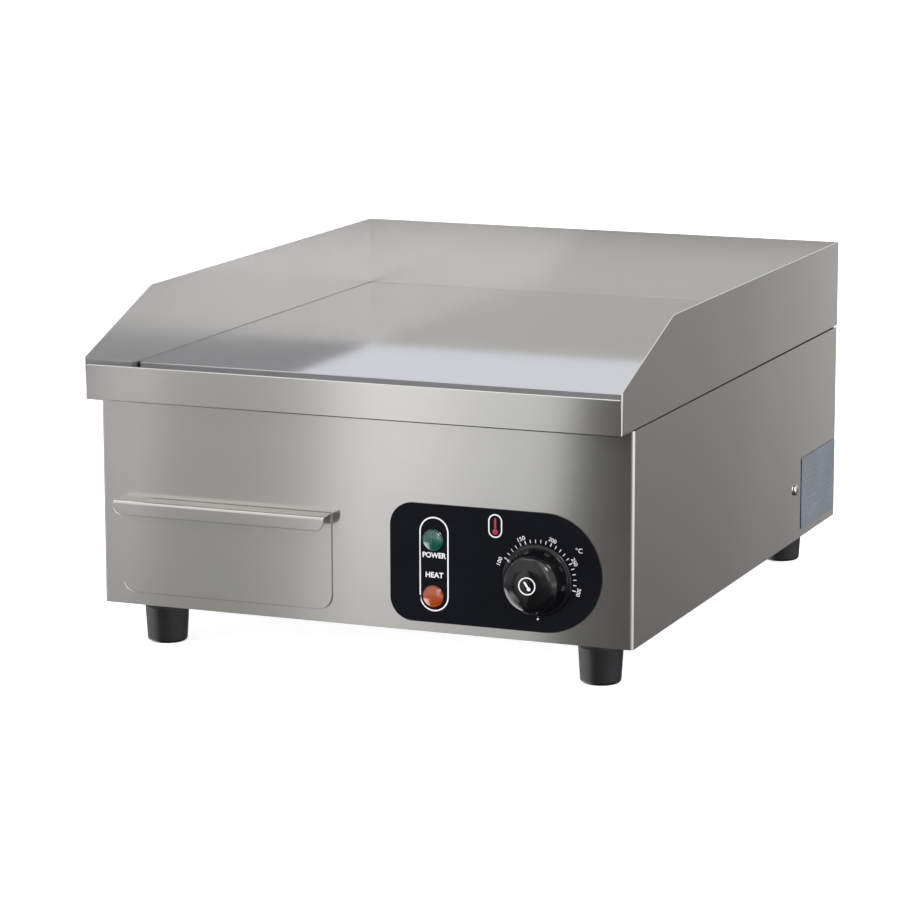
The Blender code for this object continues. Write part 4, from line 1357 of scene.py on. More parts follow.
@dataclass
class Casing(SubAssembly):
    """The sheet wrapped round the front and sides, the base tray, the rear cover, screws and label."""

    bend: float = 0.0023
    flange: float = 0.012
    sheet_edge: float = 0.00018
    low: Vector = field(default_factory=lambda: low_of("body_wrap"))
    high: Vector = field(default_factory=lambda: high_of("body_wrap"))

    def build(self) -> None:
        """Makes the casing's sheets, then what is fixed to them."""
        self._wrap()
        self._base()
        self._rear()
        for side, name in ((-1, "side_screw_left"), (1, "side_screw_right")):
            self._screw(name, Vector((side, 0, 0)), 0.0042, 0.0018, 0.002)
        for name in REAR_SCREWS:
            self._screw(name, Vector(AWAY), 0.0034, 0.002, 0.0015)
        self._label()

    def _wrap(self) -> None:
        """The front and both sides in one sheet, with flanges at the top and rear."""
        (left, front, bottom), (right, rear, top) = self.low, self.high
        pan_low, pan_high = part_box("drawer_pan")
        opening = rectangle((pan_low.x - SHEET, pan_low.z - SHEET), (pan_high.x + SHEET, pan_high.z + SHEET),
                            0.003)
        shapes = [
            rounded([(left + inset, front + inset, self.bend - inset),
                     (right - inset, front + inset, self.bend - inset),
                     (right - inset, rear - inset, 0.0), (left + inset, rear - inset, 0.0)], 5)
            for inset in (0.0, SHEET)
        ]
        within, edge = OVER / 2, self.flange
        cuts = [
            Form().prism(shapes[1], Axis.Z, bottom - OVER, top - SHEET),
            Form().block((left + edge, front + edge, top - OVER), (right - edge, rear - edge, top + OVER)),
            Form().block((left + edge, rear - OVER, bottom - OVER), (right - edge, rear + OVER, top - edge)),
            Form().prism(opening, Axis.Y, front - OVER, front + within),
            *bars(PANEL_HOLES, Axis.Y, front - OVER, front + within),
        ]
        for node in ("side_screw_left", "side_screw_right"):
            start, end = sorted((middle_of(node).x * 0.9, middle_of(node).x * 1.1))
            cuts += bars([(node, 0.0024)], Axis.X, start, end, 32)
        rear_holes = [(node, REAR_SCREW_HOLE) for node in REAR_SCREWS]
        cuts += bars(rear_holes, Axis.Y, rear - within, rear + OVER, 32)
        shape = Form().prism(shapes[0], Axis.Z, bottom, top).minus(*cuts)
        shape.softened(self.sheet_edge).piece("casing_wrap", STEEL, replaced=["body_wrap"])

    def _base(self) -> None:
        """The base tray with its two rows of ventilation slots and the holes of the foot screws."""
        low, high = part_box("base_plate")
        outline = rounded([(low.x, low.y, 0.003), (high.x, low.y, 0.003), (high.x, high.y, 0.0005),
                           (low.x, high.y, 0.0005)])
        start, end = low.z - OVER, low.z + OVER / 2
        cuts = [well("base_plate", 0.002)]
        for row in range(2):
            for column in range(8):
                x, y = -0.105 + 0.03 * column, 0.03 + 0.075 * row
                slot = rectangle((x - 0.0017, y), (x + 0.0017, y + 0.045), 0.00165)
                cuts.append(Form().prism(slot, Axis.Z, start, end))
        cuts += bars([(f"foot_{name}", 0.0033) for name in CORNERS], Axis.Z, start, end, 32)
        shape = Form().prism(outline, Axis.Z, low.z, high.z).minus(*cuts).softened(0.00012)
        shape.piece("base_tray", GALVANISED, replaced=["base_plate"])

    def _rear(self) -> None:
        """The flat rear cover, slotted for ventilation."""
        low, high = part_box("rear_panel")
        start, end = low.y - OVER, high.y + OVER
        holes = [("cable_gland", 0.0083), ("bonding_stud", 0.0033), ("cutout_bushing", 0.0053)]
        holes += [(node, REAR_SCREW_HOLE) for node in REAR_SCREWS]
        cuts = bars(holes, Axis.Y, start, end)
        first, pitch, count = -0.13, 0.02, 14
        base = self.low.z
        for column in range(count):
            x = first + pitch * column
            slot = rectangle((x - 0.0018, base + 0.1), (x + 0.0018, base + 0.13), 0.00175)
            cuts.append(Form().prism(slot, Axis.Y, start, end))
        shape = slab("rear_panel", Axis.Y, 0.002).minus(*cuts).softened(0.0002)
        shape.piece("rear_cover", STEEL, replaced=["rear_panel"])

    def _screw(self, node: str, outward: Vector, head: float, rise: float, shank: float) -> None:
        """A domed screw with a cross recess in its head.

        Args:
            node: The frame's own screw.
            outward: The direction that its head looks in.
            head: The head's radius.
            rise: The head's height.
            shank: The radius of its threads.
        """
        low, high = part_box(node)
        ends = sorted((low.dot(outward), high.dot(outward)))
        middle = (low + high) / 2
        seat = middle + outward * (ends[1] - rise - middle.dot(outward))
        length = ends[1] - rise - ends[0]
        dome = [(head * math.cos(a), rise * 0.42 + rise * 0.58 * math.sin(a))
                for a in swept(math.pi / 2, 10)[:-1]]
        profile = [(0.0, rise), *reversed(dome), (head, rise * 0.12), (head - rise * 0.12, 0.0), (shank, 0.0)]
        pitch = shank * 0.5
        profile += thread(shank, shank * 0.8, pitch, int((length - shank) / pitch))
        profile += [(shank * 0.5, -length + 0.0003), (0.0, -length)]
        shape = Form().turned(profile, seat, outward, 48)
        turn = outward.to_track_quat("Z", "Y").to_matrix().to_4x4()
        arm, wide, deep = head * 0.52, head * 0.11, rise * 0.9
        cross = [Form().block((-arm, -wide, rise - deep), (arm, wide, rise + deep)),
                 Form().block((-wide, -arm, rise - deep), (wide, arm, rise + deep))]
        for slot in cross:
            slot.mesh.transform(Matrix.Translation(seat) @ turn)
        shape.minus(*cross).piece(f"{node}_turned", SCREW, replaced=[node])

    def _label(self) -> None:
        """The foil label, printed with plain bars in a frame."""
        low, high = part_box("rating_label")
        foil = slab("rating_label", Axis.X, 0.0015).softened(0.00008)
        foil.piece("foil_label", FOIL, replaced=["rating_label"])
        margin, line, heading, rows = 0.005, 0.0016, 0.006, 9
        start, end = low.y + margin, high.y - margin
        width, height = high.y - low.y, high.z - low.z
        face = high.x + INK
        ink = Form()
        for row in range(rows):
            z = high.z - margin - heading - (height - 2 * margin - heading) * row / rows
            share = 0.35 + 0.28 * ((row * 5) % 3) / 2
            ink.block((high.x, start, z - line), (face, start + width * share * 0.8, z))
            if row > 2:
                ink.block((high.x, end - width * 0.2, z - line), (face, end, z))
        edges = [rectangle((low.y + inset, low.z + inset), (high.y - inset, high.z - inset), 0.001)
                 for inset in (0.002, 0.0025)]
        ink.band(*edges, Axis.X, high.x, face)
        ink.piece("label_print", GREY_INK, smooth=20.0)


@dataclass
class Feet(SubAssembly):
    """Four tapered rubber feet, each on its own screw."""

    top: float = 0.0162
    foot: float = 0.0144
    edge: float = 0.0025
    recess: float = 0.0075
    seat: float = 0.0078

    def build(self) -> None:
        """Makes each foot and its screw."""
        for name in CORNERS:
            self._foot(name)
            self._screw(name)

    def _foot(self, name: str) -> None:
        """A foot with a rounded heel, a moulding line and a recess underneath.

        Args:
            name: The corner that it stands at.
        """
        low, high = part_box(f"foot_{name}")
        middle, height = (low + high) / 2, high.z - low.z
        heel = [(self.foot - self.edge * (1 - math.sin(a)), self.edge * (1 - math.cos(a)))
                for a in swept(math.pi / 2, 8)]
        line = height * 0.8
        side = self.foot + (self.top - self.foot) * (line - self.edge) / (height - self.edge)
        profile = [
            (self.recess + 0.0004, 0.0), *heel, (side, line - 0.0003), (side + 0.00015, line),
            (side, line + 0.0003), (self.top - 0.0005, height - 0.0006), (self.top - 0.0009, height),
            (0.0034, height), (0.0034, self.seat), (self.recess, self.seat), (self.recess, 0.0004),
        ]
        shape = Form().turned(profile, (middle.x, middle.y, low.z), UP)
        shape.piece(f"rubber_foot_{name}", RUBBER, replaced=[f"foot_{name}"])

    def _screw(self, name: str) -> None:
        """The foot's zinc-plated screw, its cross-slotted head in the recess.

        Args:
            name: The foot's corner.
        """
        node = f"foot_screw_{name}"
        low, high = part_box(node)
        x, y, _ = (low + high) / 2
        head, rise, shank, pitch = (high.x - low.x) / 2, 0.0035, 0.003, 0.0012
        seat = low.z + rise
        length = high.z - seat
        profile = [(0.0, rise), (head * 0.6, rise * 0.93), (head * 0.9, rise * 0.7), (head, rise * 0.4),
                   (head, 0.0), (shank, 0.0)]
        profile += thread(shank, shank * 0.84, pitch, int((length - pitch) / pitch))
        profile += [(shank * 0.8, 0.0002 - length), (0.0, -length)]
        shape = Form().turned(profile, (x, y, seat), (0, 0, -1), 48)
        arm, wide, start, end = head * 0.55, head * 0.1, low.z - 0.001, low.z + 0.0016
        slots = [Form().block((x - a, y - b, start), (x + a, y + b, end))
                 for a, b in ((arm, wide), (wide, arm))]
        shape.minus(*slots).piece(f"{node}_turned", ZINC, replaced=[node])


@dataclass
class ControlPanel(SubAssembly):
    """The black faceplate with its printing, the two pilot lamps and the knob."""

    corner: float = 0.0165
    lens_radius: float = 0.0076
    line: float = 0.001
    dial_radius: Pair = (0.0256, 0.028)
    numeral_radius: float = 0.03
    coldest: int = 100
    hottest: int = 300
    tick_step: int = 10
    first_angle: float = 151.1
    degrees_per_degree: float = -0.8165
    low_spread: float = 0.085
    low: Vector = field(default_factory=lambda: low_of("control_overlay"))
    high: Vector = field(default_factory=lambda: high_of("control_overlay"))
    knob: Vector = field(default_factory=lambda: middle_of("control_knob"))

    def build(self) -> None:
        """Makes the faceplate, what is printed on it, the lamps and the knob."""
        self._faceplate()
        self._lamp_marks()
        self._dial()
        for lens, lamp, finish in (("power_lens", "power_lamp", GREEN), ("heat_lens", "heat_lamp", AMBER)):
            self._lens(lens, finish)
            self._lamp_body(lamp)
        self._knob()
        self._spindle()
        self._pointer_and_badge()

    def _faceplate(self) -> None:
        """Two round corners on the left, a half circle on the right."""
        low, high = self.low, self.high
        half = (high.z - low.z) / 2 - 1e-6
        outline = rounded([(low.x, low.z, self.corner), (high.x, low.z, half), (high.x, high.z, half),
                           (low.x, high.z, self.corner)], 3)
        holes = bars(PANEL_HOLES, Axis.Y, low.y - 0.005, high.y + 0.005)
        shape = Form().prism(outline, Axis.Y, low.y, high.y).minus(*holes).softened(0.0001)
        shape.piece("faceplate", OVERLAY, replaced=["control_overlay"])

    def _framed(self, x: float, bottom: float, top: float, radius: float, line: float,
                form: Form | None = None) -> Form:
        """A printed frame with round ends.

        Args:
            x: Its middle.
            bottom: Its lower end.
            top: Its upper end.
            radius: The radius of its ends.
            line: The width of its line.
            form: What it is added to, if it isn't a form of its own.

        Returns:
            The form.
        """
        edges = [rectangle((x - radius + inset, bottom + inset), (x + radius - inset, top - inset),
                           radius - inset - 1e-6) for inset in (0.0, line)]
        return (form or Form()).band(*edges, Axis.Y, self.low.y - INK, self.low.y)

    def _lamp_marks(self) -> None:
        """The white frame round both lamps, with their two plain words."""
        lamps = [middle_of(node) for node in ("power_lens", "heat_lens")]
        x = lamps[0].x + 0.0006
        low, high = lamps[1].z - 0.0107, lamps[0].z + 0.0162
        radius = 0.01085
        start, end = self.low.y - INK, self.low.y
        print_ = self._framed(x, low, high, radius, self.line)
        y = (start + end) / 2
        print_.lettering("POWER", (x, y, lamps[0].z - 0.011), 0.0039, 0.0174, bold=0.0001)
        print_.lettering("HEAT", (x + 0.0002, y, lamps[1].z + 0.0148), 0.0039, 0.0132, bold=0.0001)
        print_.piece("lamp_print", WHITE_INK, smooth=20.0)

    def _dial(self) -> None:
        """The temperature scale round the knob, the thermometer sign and the dot at rest."""
        centre = (self.knob.x, self.knob.z)
        start, end = self.low.y - INK, self.low.y
        y = (start + end) / 2
        scale = Form()
        inner, outer = self.dial_radius
        for reading in range(self.coldest, self.hottest + 1, self.tick_step):
            angle = self.first_angle + self.degrees_per_degree * (reading - self.coldest)
            major = (reading - self.coldest) % 50 == 0
            wide = 0.00036 if major else 0.00027
            tick = [(inner, -wide), (outer, -wide), (outer, wide), (inner, wide)]
            scale.prism(about(tick, centre, angle), Axis.Y, start, end)
            if major:
                angle += self.low_spread * max(0, 200 - reading)
                place = Axis.Y.place(*polar(centre, self.numeral_radius, angle), y)
                scale.lettering(str(reading), place, 0.0028, 0.0057, angle - 90, 0.00002)
        scale.lettering("°C", Axis.Y.place(*polar(centre, 0.0372, 37.0), y), 0.0034, 0.0048)
        dot = circle((centre[0], centre[1] - 0.0275), 0.0007, 24)
        scale.prism(dot, Axis.Y, start, end)
        x, bottom, top = centre[0] - 0.0313, self.low.z + 0.0634, self.low.z + 0.08
        radius = 0.0051
        self._framed(x, bottom, top, radius, 0.0009, scale)
        scale.piece("dial_print", WHITE_INK, smooth=20.0)
        low, high = bottom + 0.0042, top - 0.0028
        sign = Form().prism(circle((x, low), 0.002, 32), Axis.Y, start, end)
        sign.prism(rectangle((x - 0.0008, low + 0.0022), (x + 0.0008, high), 0.00075), Axis.Y, start, end)
        sign.piece("temperature_sign", RED_INK, smooth=20.0)

    def _lens(self, node: str, finish: Finish) -> None:
        """A domed lens with a flat rim, its stem through the panel.

        Args:
            node: The frame's own lens.
            finish: Its colour of plastic.
        """
        low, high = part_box(node)
        middle = (low + high) / 2
        seat = self.low.y - GAP
        radius, rim, stem, foot = self.lens_radius, 0.0006, 0.005, seat - high.y
        rise = seat - low.y - rim
        dome_radius = radius - 0.0002
        dome = [(dome_radius * math.cos(a), rim + rise * math.sin(a)) for a in swept(math.pi / 2, 16)[:-1]]
        profile = [(0.0, rim + rise), *reversed(dome), (radius, rim - 0.0002), (radius, 0.0),
                   (stem, 0.0), (stem, foot), (0.0, foot)]
        shape = Form().turned(profile, (middle.x, seat, middle.z), TOWARDS, 64)
        shape.piece(f"{node}_dome", finish, replaced=[node])

    def _lamp_body(self, node: str) -> None:
        """The lamp's moulded body behind the panel, with its two blade terminals.

        Args:
            node: The frame's own lamp.
        """
        low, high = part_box(node)
        middle = (low + high) / 2
        radius, end = (high.x - low.x) / 2, high.y - low.y - 0.0024
        groove = radius - 0.0004
        profile = [(0.0, 0.0), (radius * 0.74, 0.0), (radius - 0.0002, 0.0006), (radius, 0.001)]
        for at in (0.003, 0.006, 0.009):
            profile += [(radius, at), (groove, at + 0.0003), (groove, at + 0.0009), (radius, at + 0.0012)]
        profile += [(radius, end - 0.0016), (radius * 0.72, end - 0.0002), (radius * 0.66, end), (0.0, end)]
        shape = Form().turned(profile, (middle.x, low.y, middle.z), AWAY, 48)
        shape.piece(f"{node}_body", PLASTIC, replaced=[node])
        blades = Form()
        half_thick, half_wide = 0.0003, 0.0014
        for x in (middle.x - 0.0022, middle.x + 0.0022):
            blades.block((x - half_thick, high.y - 0.0023, middle.z - half_wide),
                         (x + half_thick, high.y, middle.z + half_wide))
        blades.softened(0.0001, sharper=30.0).piece(f"{node}_blades", ZINC)

    def _knob(self) -> None:
        """The knob: a thin skirt, a tapered grip and a slightly domed face."""
        low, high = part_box("control_knob")
        hub, deep = 0.0033, 0.015
        profile = rounded([
            (hub, 0.0, 0.0), (0.0252, 0.0, 0.0003), (0.0255, 0.001, 0.0006), (0.0248, 0.0024, 0.0008),
            (0.0229, 0.0027, 0.0006), (0.0208, 0.012, 0.01), (0.0186, 0.019, 0.0066),
            (0.0105, 0.0205, 0.02), (0.0, high.y - low.y, 0.0), (0.0, deep, 0.0), (hub, deep, 0.0),
        ], 2)
        shape = Form().turned(profile, (self.knob.x, high.y, self.knob.z), TOWARDS, 128)
        shape.piece("knob_moulding", KNOB, Body.KNOB, ["control_knob"], 40.0)

    def _spindle(self) -> None:
        """The thermostat's shaft in the knob, with the flat that turns it."""
        low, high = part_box("thermostat_shaft")
        (x, _, z), radius, length = self.knob, (high.x - low.x) / 2, high.y - low.y
        bevel = 0.0004
        profile = [(0.0, 0.0), (radius - bevel, 0.0), (radius, bevel), (radius, length - bevel),
                   (radius - bevel, length), (0.0, length)]
        flat = Form().block((x - radius, low.y - 0.001, z + radius * 0.55),
                            (x + radius, low.y + 0.009, z + radius * 1.1))
        shaft = Form().turned(profile, (x, low.y, z), AWAY, 48).minus(flat)
        shaft.piece("thermostat_spindle", ZINC, Body.KNOB, ["thermostat_shaft"])

    def _pointer_and_badge(self) -> None:
        """The knob's white pointer, and the plain thermometer in a ring on its face."""
        centre = (self.knob.x, self.knob.z)
        skirt = high_of("control_knob").y - 0.00262
        wide, tip, root = 0.0011, 0.0249, 0.0232
        pointer = about([(root, -wide), (tip, 0.0), (root, wide)], centre, 149.0)
        marks = Form().prism(pointer, Axis.Y, skirt, skirt + 0.0006)
        face = low_of("control_knob").y
        start, end = face - INK, face + 0.00016
        marks.band(circle(centre, 0.0062, 72), circle(centre, 0.0054, 72), Axis.Y, start, end)
        lean = 35.0
        stem = about(rectangle((-0.0007, -0.0014), (0.0007, 0.0036), 0.00068), centre, lean)
        bulb = circle(polar(centre, 0.0024, lean - 90), 0.0013, 32)
        marks.prism(stem, Axis.Y, start, end)
        marks.prism(bulb, Axis.Y, start, end)
        marks.piece("knob_print", WHITE_INK, Body.KNOB, smooth=20.0)


@dataclass
class GreaseDrawer(SubAssembly):
    """The drawer: a folded front with its handle, the pan behind it and the rails that carry it."""

    sheet: float = 0.0012
    bend: float = 0.0022
    corner: float = 0.01
    handle_corner: float = 0.0065
    rail_foot: float = 0.009
    rail_head: float = 0.014

    def build(self) -> None:
        """Makes the front, the pan and both rails."""
        self._front()
        self._pan()
        self._rails()

    def _front(self) -> None:
        """One sheet: a plate that lies on the panel, bent out and down into the handle."""
        low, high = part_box("drawer_front")
        back, face = high.y, high.y - self.sheet
        tip = high.z - 0.0108
        section = sheet_section([(back, low.z), (back, high.z), (low.y, high.z - 0.0006), (low.y, tip)],
                                self.sheet, self.bend)
        waste = []
        for corner, way in ((low.x, 1), (high.x, -1)):
            lower = corner_waste((corner, low.z), (way, 1), self.corner)
            handle = corner_waste((corner, tip), (way, 1), self.handle_corner)
            waste.append(Form().prism(lower, Axis.Y, face - 0.001, back + 0.001))
            waste.append(Form().prism(handle, Axis.Y, face - 0.016, face - 0.004))
        shape = Form().prism(section, Axis.X, low.x, high.x).minus(*waste).softened(0.0003, 3, 55.0)
        shape.piece("drawer_face", STEEL, Body.DRAWER, ["drawer_front"])

    def _pan(self) -> None:
        """The open pan, with rounded inside corners."""
        shape = slab("drawer_pan", Axis.Z, 0.002).minus(well("drawer_pan", 0.0015)).softened(0.0002)
        shape.piece("fat_pan", STEEL, Body.DRAWER, ["drawer_pan"])

    def _rails(self) -> None:
        """The Z-shaped rails that the pan runs on."""
        for side, way in (("left", 1), ("right", -1)):
            node = f"drawer_rail_{side}"
            low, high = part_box(node)
            web = low.x + self.rail_foot if way > 0 else high.x - self.rail_foot
            outer, tip = web - way * self.rail_foot, web + way * self.rail_head
            top = high.z - SHEET
            path = [(outer, low.z), (web, low.z), (web, top), (tip, top)]
            section = sheet_section(path[::way], SHEET, 0.0)
            shape = Form().prism(section, Axis.Y, low.y, high.y).softened(0.0002, sharper=55.0)
            shape.piece(f"pan_rail_{side}", GALVANISED, replaced=[node])


@dataclass
class HeatingUnit(SubAssembly):
    """Two elements clamped under the plate, with the heat shield and its fibre mat below them."""

    leg_pitch: float = 0.045
    first_leg: float = 0.03
    turn_down: float = 0.009
    cold_end: float = 0.03

    def build(self) -> None:
        """Makes the elements, clamps, bolts, shield and mat."""
        for side, away in (("left", -1), ("right", 1)):
            self._element(f"heating_element_{side}", away)
        for name in ("element_clamp_front", "element_clamp_rear"):
            self._clamp(name)
        for number in range(1, 5):
            self._bolt(f"clamp_bolt_{number}")
        self._shield()
        self._mat()

    def _element(self, node: str, away: int) -> None:
        """One element's four legs, its cold ends turned down and capped with ceramic beads.

        Args:
            node: The frame's own element.
            away: -1 for the left one, 1 for the right one.
        """
        low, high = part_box(node)
        level, radius = high.z - ELEMENT_RADIUS, ELEMENT_RADIUS
        bend = self.leg_pitch / 2
        tail, front = high.y - radius, low.y + radius + bend
        rear = tail - 0.026
        first = self.first_leg * away
        down = [(first, tail - self.turn_down * (1 - math.cos(a)), level - self.turn_down * (1 - math.sin(a)))
                for a in swept(math.pi / 2, 8)]
        bottom = level - self.cold_end
        path = [(first, tail, bottom), *down]
        for leg, (end, forward) in enumerate(((front, -1), (rear, 1), (front, -1))):
            x = first + away * self.leg_pitch * leg
            path += [(x + bend * (1 - math.cos(a)) * away, end + forward * bend * math.sin(a), level)
                     for a in swept(math.pi, 16)]
        last = first + away * self.leg_pitch * 3
        path += [(last, y, z) for _, y, z in reversed(down)]
        path.append((last, tail, bottom))
        Form().tube([Vector(p) for p in path], radius).piece(f"{node}_tube", SHEATH, replaced=[node])
        beads = Form()
        bore, rim = radius + 0.00005, radius + 0.0011
        for x in (first, last):
            beads.turned([(bore, 0.0), (rim, 0.0004), (rim, 0.005), (bore, 0.0055)],
                         (x, tail, bottom + 0.001), UP, 48)
        beads.piece(f"{node}_beads", CERAMIC)

    def _clamp(self, node: str) -> None:
        """A clamp bar with rounded ends and two bolt holes.

        Args:
            node: The frame's own clamp.
        """
        low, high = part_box(node)
        bolt = middle_of("clamp_bolt_2").x
        holes = [bar((x, middle_of(node).y), 0.0034, Axis.Z, low.z - OVER, high.z + OVER)
                 for x in (-bolt, bolt)]
        shape = slab(node, Axis.Z, 0.004).minus(*holes).softened(0.0003)
        shape.piece(f"{node}_bar", GALVANISED, replaced=[node])

    def _bolt(self, node: str) -> None:
        """A hex bolt with a chamfered head and a threaded shank.

        Args:
            node: The frame's own bolt.
        """
        low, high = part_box(node)
        x, y, _ = (low + high) / 2
        seat = low.z + 0.004
        head = bar((x, y), (high.x - low.x) / 2, Axis.Z, low.z, seat, 6).softened(0.0003, sharper=40.0)
        head.plus(threaded((x, y, seat), UP, 0.003, high.z - seat, 0.001))
        head.piece(f"{node}_hex", ZINC, replaced=[node])

    def _shield(self) -> None:
        """The folded tray that keeps the heat from the base."""
        shape = slab("heat_shield", Axis.Z, 0.003).minus(well("heat_shield", 0.002)).softened(0.0002)
        shape.piece("shield_tray", GALVANISED, replaced=["heat_shield"])

    def _mat(self) -> None:
        """The fibre mat: a soft blanket with worn edges."""
        shape = slab("insulation_mat", Axis.Z, 0.003).softened(0.0016, 3)
        shape.piece("fibre_blanket", FIBRE, replaced=["insulation_mat"])


def threaded(seat: Point, outward: Point, crest: float, length: float, pitch: float) -> Form:
    """A screw's shank with its thread's ridges.

    Args:
        seat: The middle of the end that it starts from.
        outward: The direction that it runs in.
        crest: The outer radius of the thread.
        length: How long it is.
        pitch: From one ridge to the next.

    Returns:
        The closed shank, which starts a little inside what it is joined to.
    """
    root, ridges = crest * 0.84, int(length / pitch) - 1
    profile = [(0.0, -pitch / 2), (root, -pitch / 2)]
    for ridge in range(ridges):
        at = pitch * (ridge + 0.25)
        profile += [(root, at - pitch * 0.2), (crest, at + pitch * 0.25), (crest, at + pitch * 0.35)]
    profile += [(root, pitch * ridges), (crest * 0.7, length), (0.0, length)]
    return Form().turned(profile, seat, outward, 32)


@dataclass
class Controls(SubAssembly):
    """The thermostat behind the knob and the safety cut-out in the rear cover, with their sensors."""

    sensor: float = 0.003
    capillary: float = 0.0009
    mount: float = 0.004

    def build(self) -> None:
        """Makes both switches, their sensors and the cut-out's bushing and button."""
        self._switch("thermostat_body", 0.006, 1)
        self._switch("cutout_body", 0.004, -1)
        self._thermostat_sensor()
        self._cutout_sensor()
        self._bushing()
        self._button()

    def _switch(self, node: str, corner: float, way: int) -> None:
        """A phenolic switch body with joint lines, bored for what passes through its mounting side.

        Args:
            node: The frame's own body.
            corner: The radius of its corners.
            way: 1 where its mounting faces the cook, -1 where it faces the wall.
        """
        low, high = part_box(node)
        middle = (low + high) / 2
        if way > 0:
            front = low.y + self.mount
            hole, radius, reach = Axis.Y.pair(middle_of("thermostat_shaft")), 0.0036, low.y - OVER
            cuts = [bar(hole, radius, Axis.Y, reach, low.y + 0.012)]
            half_wide, half_high = 0.017, 0.01
            outline = rectangle((middle.x - half_wide, middle.z - half_high),
                                (middle.x + half_wide, middle.z + half_high), 0.002)
            plate = Form().prism(outline, Axis.Y, low.y, front - 0.0001)
            plate.minus(bar(hole, radius, Axis.Y, reach, low.y + OVER)).softened(0.0002)
            plate.piece("thermostat_mount", GALVANISED)
        else:
            front = low.y
            cuts = [bar((middle.x, middle.z), 0.0058, Axis.Y, high.y - 0.01, high.y + OVER)]
        outline = rectangle((low.x, low.z), (high.x, high.z), corner)
        shape = Form().prism(outline, Axis.Y, front, high.y).softened(0.0006, 3)
        over, deep, half = 0.001, 0.0005, 0.0004
        for share in (0.35, 0.65):
            y = low.y + (high.y - low.y) * share
            for start, end in ((low.x - over, low.x + deep), (high.x - deep, high.x + over)):
                cuts.append(Form().block((start, y - half, low.z - over), (end, y + half, high.z)))
        shape.minus(*cuts).piece(f"{node}_moulding", PHENOLIC, replaced=[node])

    def _sensor_tube(self, node: str, route: Sequence[Point]) -> None:
        """A copper bulb between the route's first two points, and the capillary along the rest.

        Args:
            node: The frame's own sensor.
            route: The points of the sensor's middle line.
        """
        path = smooth_path(route[2:])
        tip, neck = Vector(route[0]), Vector(route[1])
        bulb = [tip, tip * 0.985 + neck * 0.015, neck * 0.985 + tip * 0.015, neck]
        radii = [self.sensor * 0.7, self.sensor, self.sensor, self.sensor * 0.6]
        radii += [self.capillary] * len(path)
        Form().tube(bulb + path, radii, 20).piece(f"{node}_tube", COPPER, replaced=[node])

    def _thermostat_sensor(self) -> None:
        """From the middle of the plate, forward, round and down to the thermostat."""
        low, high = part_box("thermostat_probe")
        front = low_of("body_wrap").y
        level, top = high.z - self.sensor, low.z
        knob = middle_of("control_knob")
        self._sensor_tube("thermostat_probe", [
            (0.0, high.y, level), (0.0, front + 0.2, level), (0.0, front + 0.195, level),
            (0.002, front + 0.12, level), (0.02, front + 0.07, level - 0.001),
            (0.06, front + 0.046, level - 0.016), (0.1, front + 0.036, level - 0.04),
            (0.128, front + 0.026, top + 0.03), (knob.x, front + 0.022, top + 0.012),
            (knob.x, front + 0.022, top),
        ])

    def _cutout_sensor(self) -> None:
        """From beside the elements, rearward and down to the cut-out."""
        low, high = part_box("cutout_probe")
        rear = high_of("rear_panel").y
        level, top = high.z - self.sensor, low.z
        button = middle_of("reset_button")
        self._sensor_tube("cutout_probe", [
            (-0.006, low.y, level), (-0.006, rear - 0.115, level), (-0.006, rear - 0.111, level),
            (-0.007, rear - 0.07, level), (-0.008, rear - 0.045, level),
            (-0.016, rear - 0.027, level - 0.002),
            (-0.04, rear - 0.024, level - 0.012), (-0.085, rear - 0.022, level - 0.034),
            (button.x, rear - 0.018, top + 0.012), (button.x, rear - 0.018, top),
        ])

    def _bushing(self) -> None:
        """The threaded bushing and its notched ring, outside the rear cover."""
        low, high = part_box("cutout_bushing")
        middle = (low + high) / 2
        seat = high.y - 0.0052
        bore, crest, ring, pitch = 0.0034, 0.005, (high.x - low.x) / 2, 0.0009
        root, start = crest - 0.0004, low.y - seat
        profile = [(bore, start), (root, start)]
        for turn in range(int((seat - low.y) / pitch)):
            at = low.y - seat + pitch * turn
            profile += [(root, at + pitch * 0.3), (crest, at + pitch * 0.6), (crest, at + pitch * 0.7)]
        profile += [(crest, 0.0016), (ring - 0.0004, 0.0016), (ring, 0.002), (ring, 0.0042),
                    (ring - 0.0004, 0.0046), (0.007, 0.0048), (0.0062, 0.0052), (bore + 0.0003, 0.0052),
                    (bore, 0.0049)]
        shape = Form().turned(profile, (middle.x, seat, middle.z), AWAY, 72)
        notch = rectangle((ring - 0.0003, -0.0003), (ring + 0.001, 0.0003))
        notches = [Form().prism(about(notch, (middle.x, middle.z), 20 * k), Axis.Y, seat + 0.0012,
                                seat + 0.005) for k in range(18)]
        shape.minus(*notches).piece("cutout_bushing_ring", ZINC, replaced=["cutout_bushing"])

    def _button(self) -> None:
        """The red reset pin with its rounded end."""
        low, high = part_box("reset_button")
        middle, radius, length = (low + high) / 2, (high.x - low.x) / 2, high.y - low.y
        profile = rounded([(0.0, 0.0, 0.0), (radius, 0.0, 0.0003), (radius, length, 0.0012),
                           (0.0, length, 0.0)], 10)
        pin = Form().turned(profile, (middle.x, low.y, middle.z), AWAY, 48)
        pin.piece("reset_pin_moulding", BUTTON, Body.BUTTON, ["reset_button"])


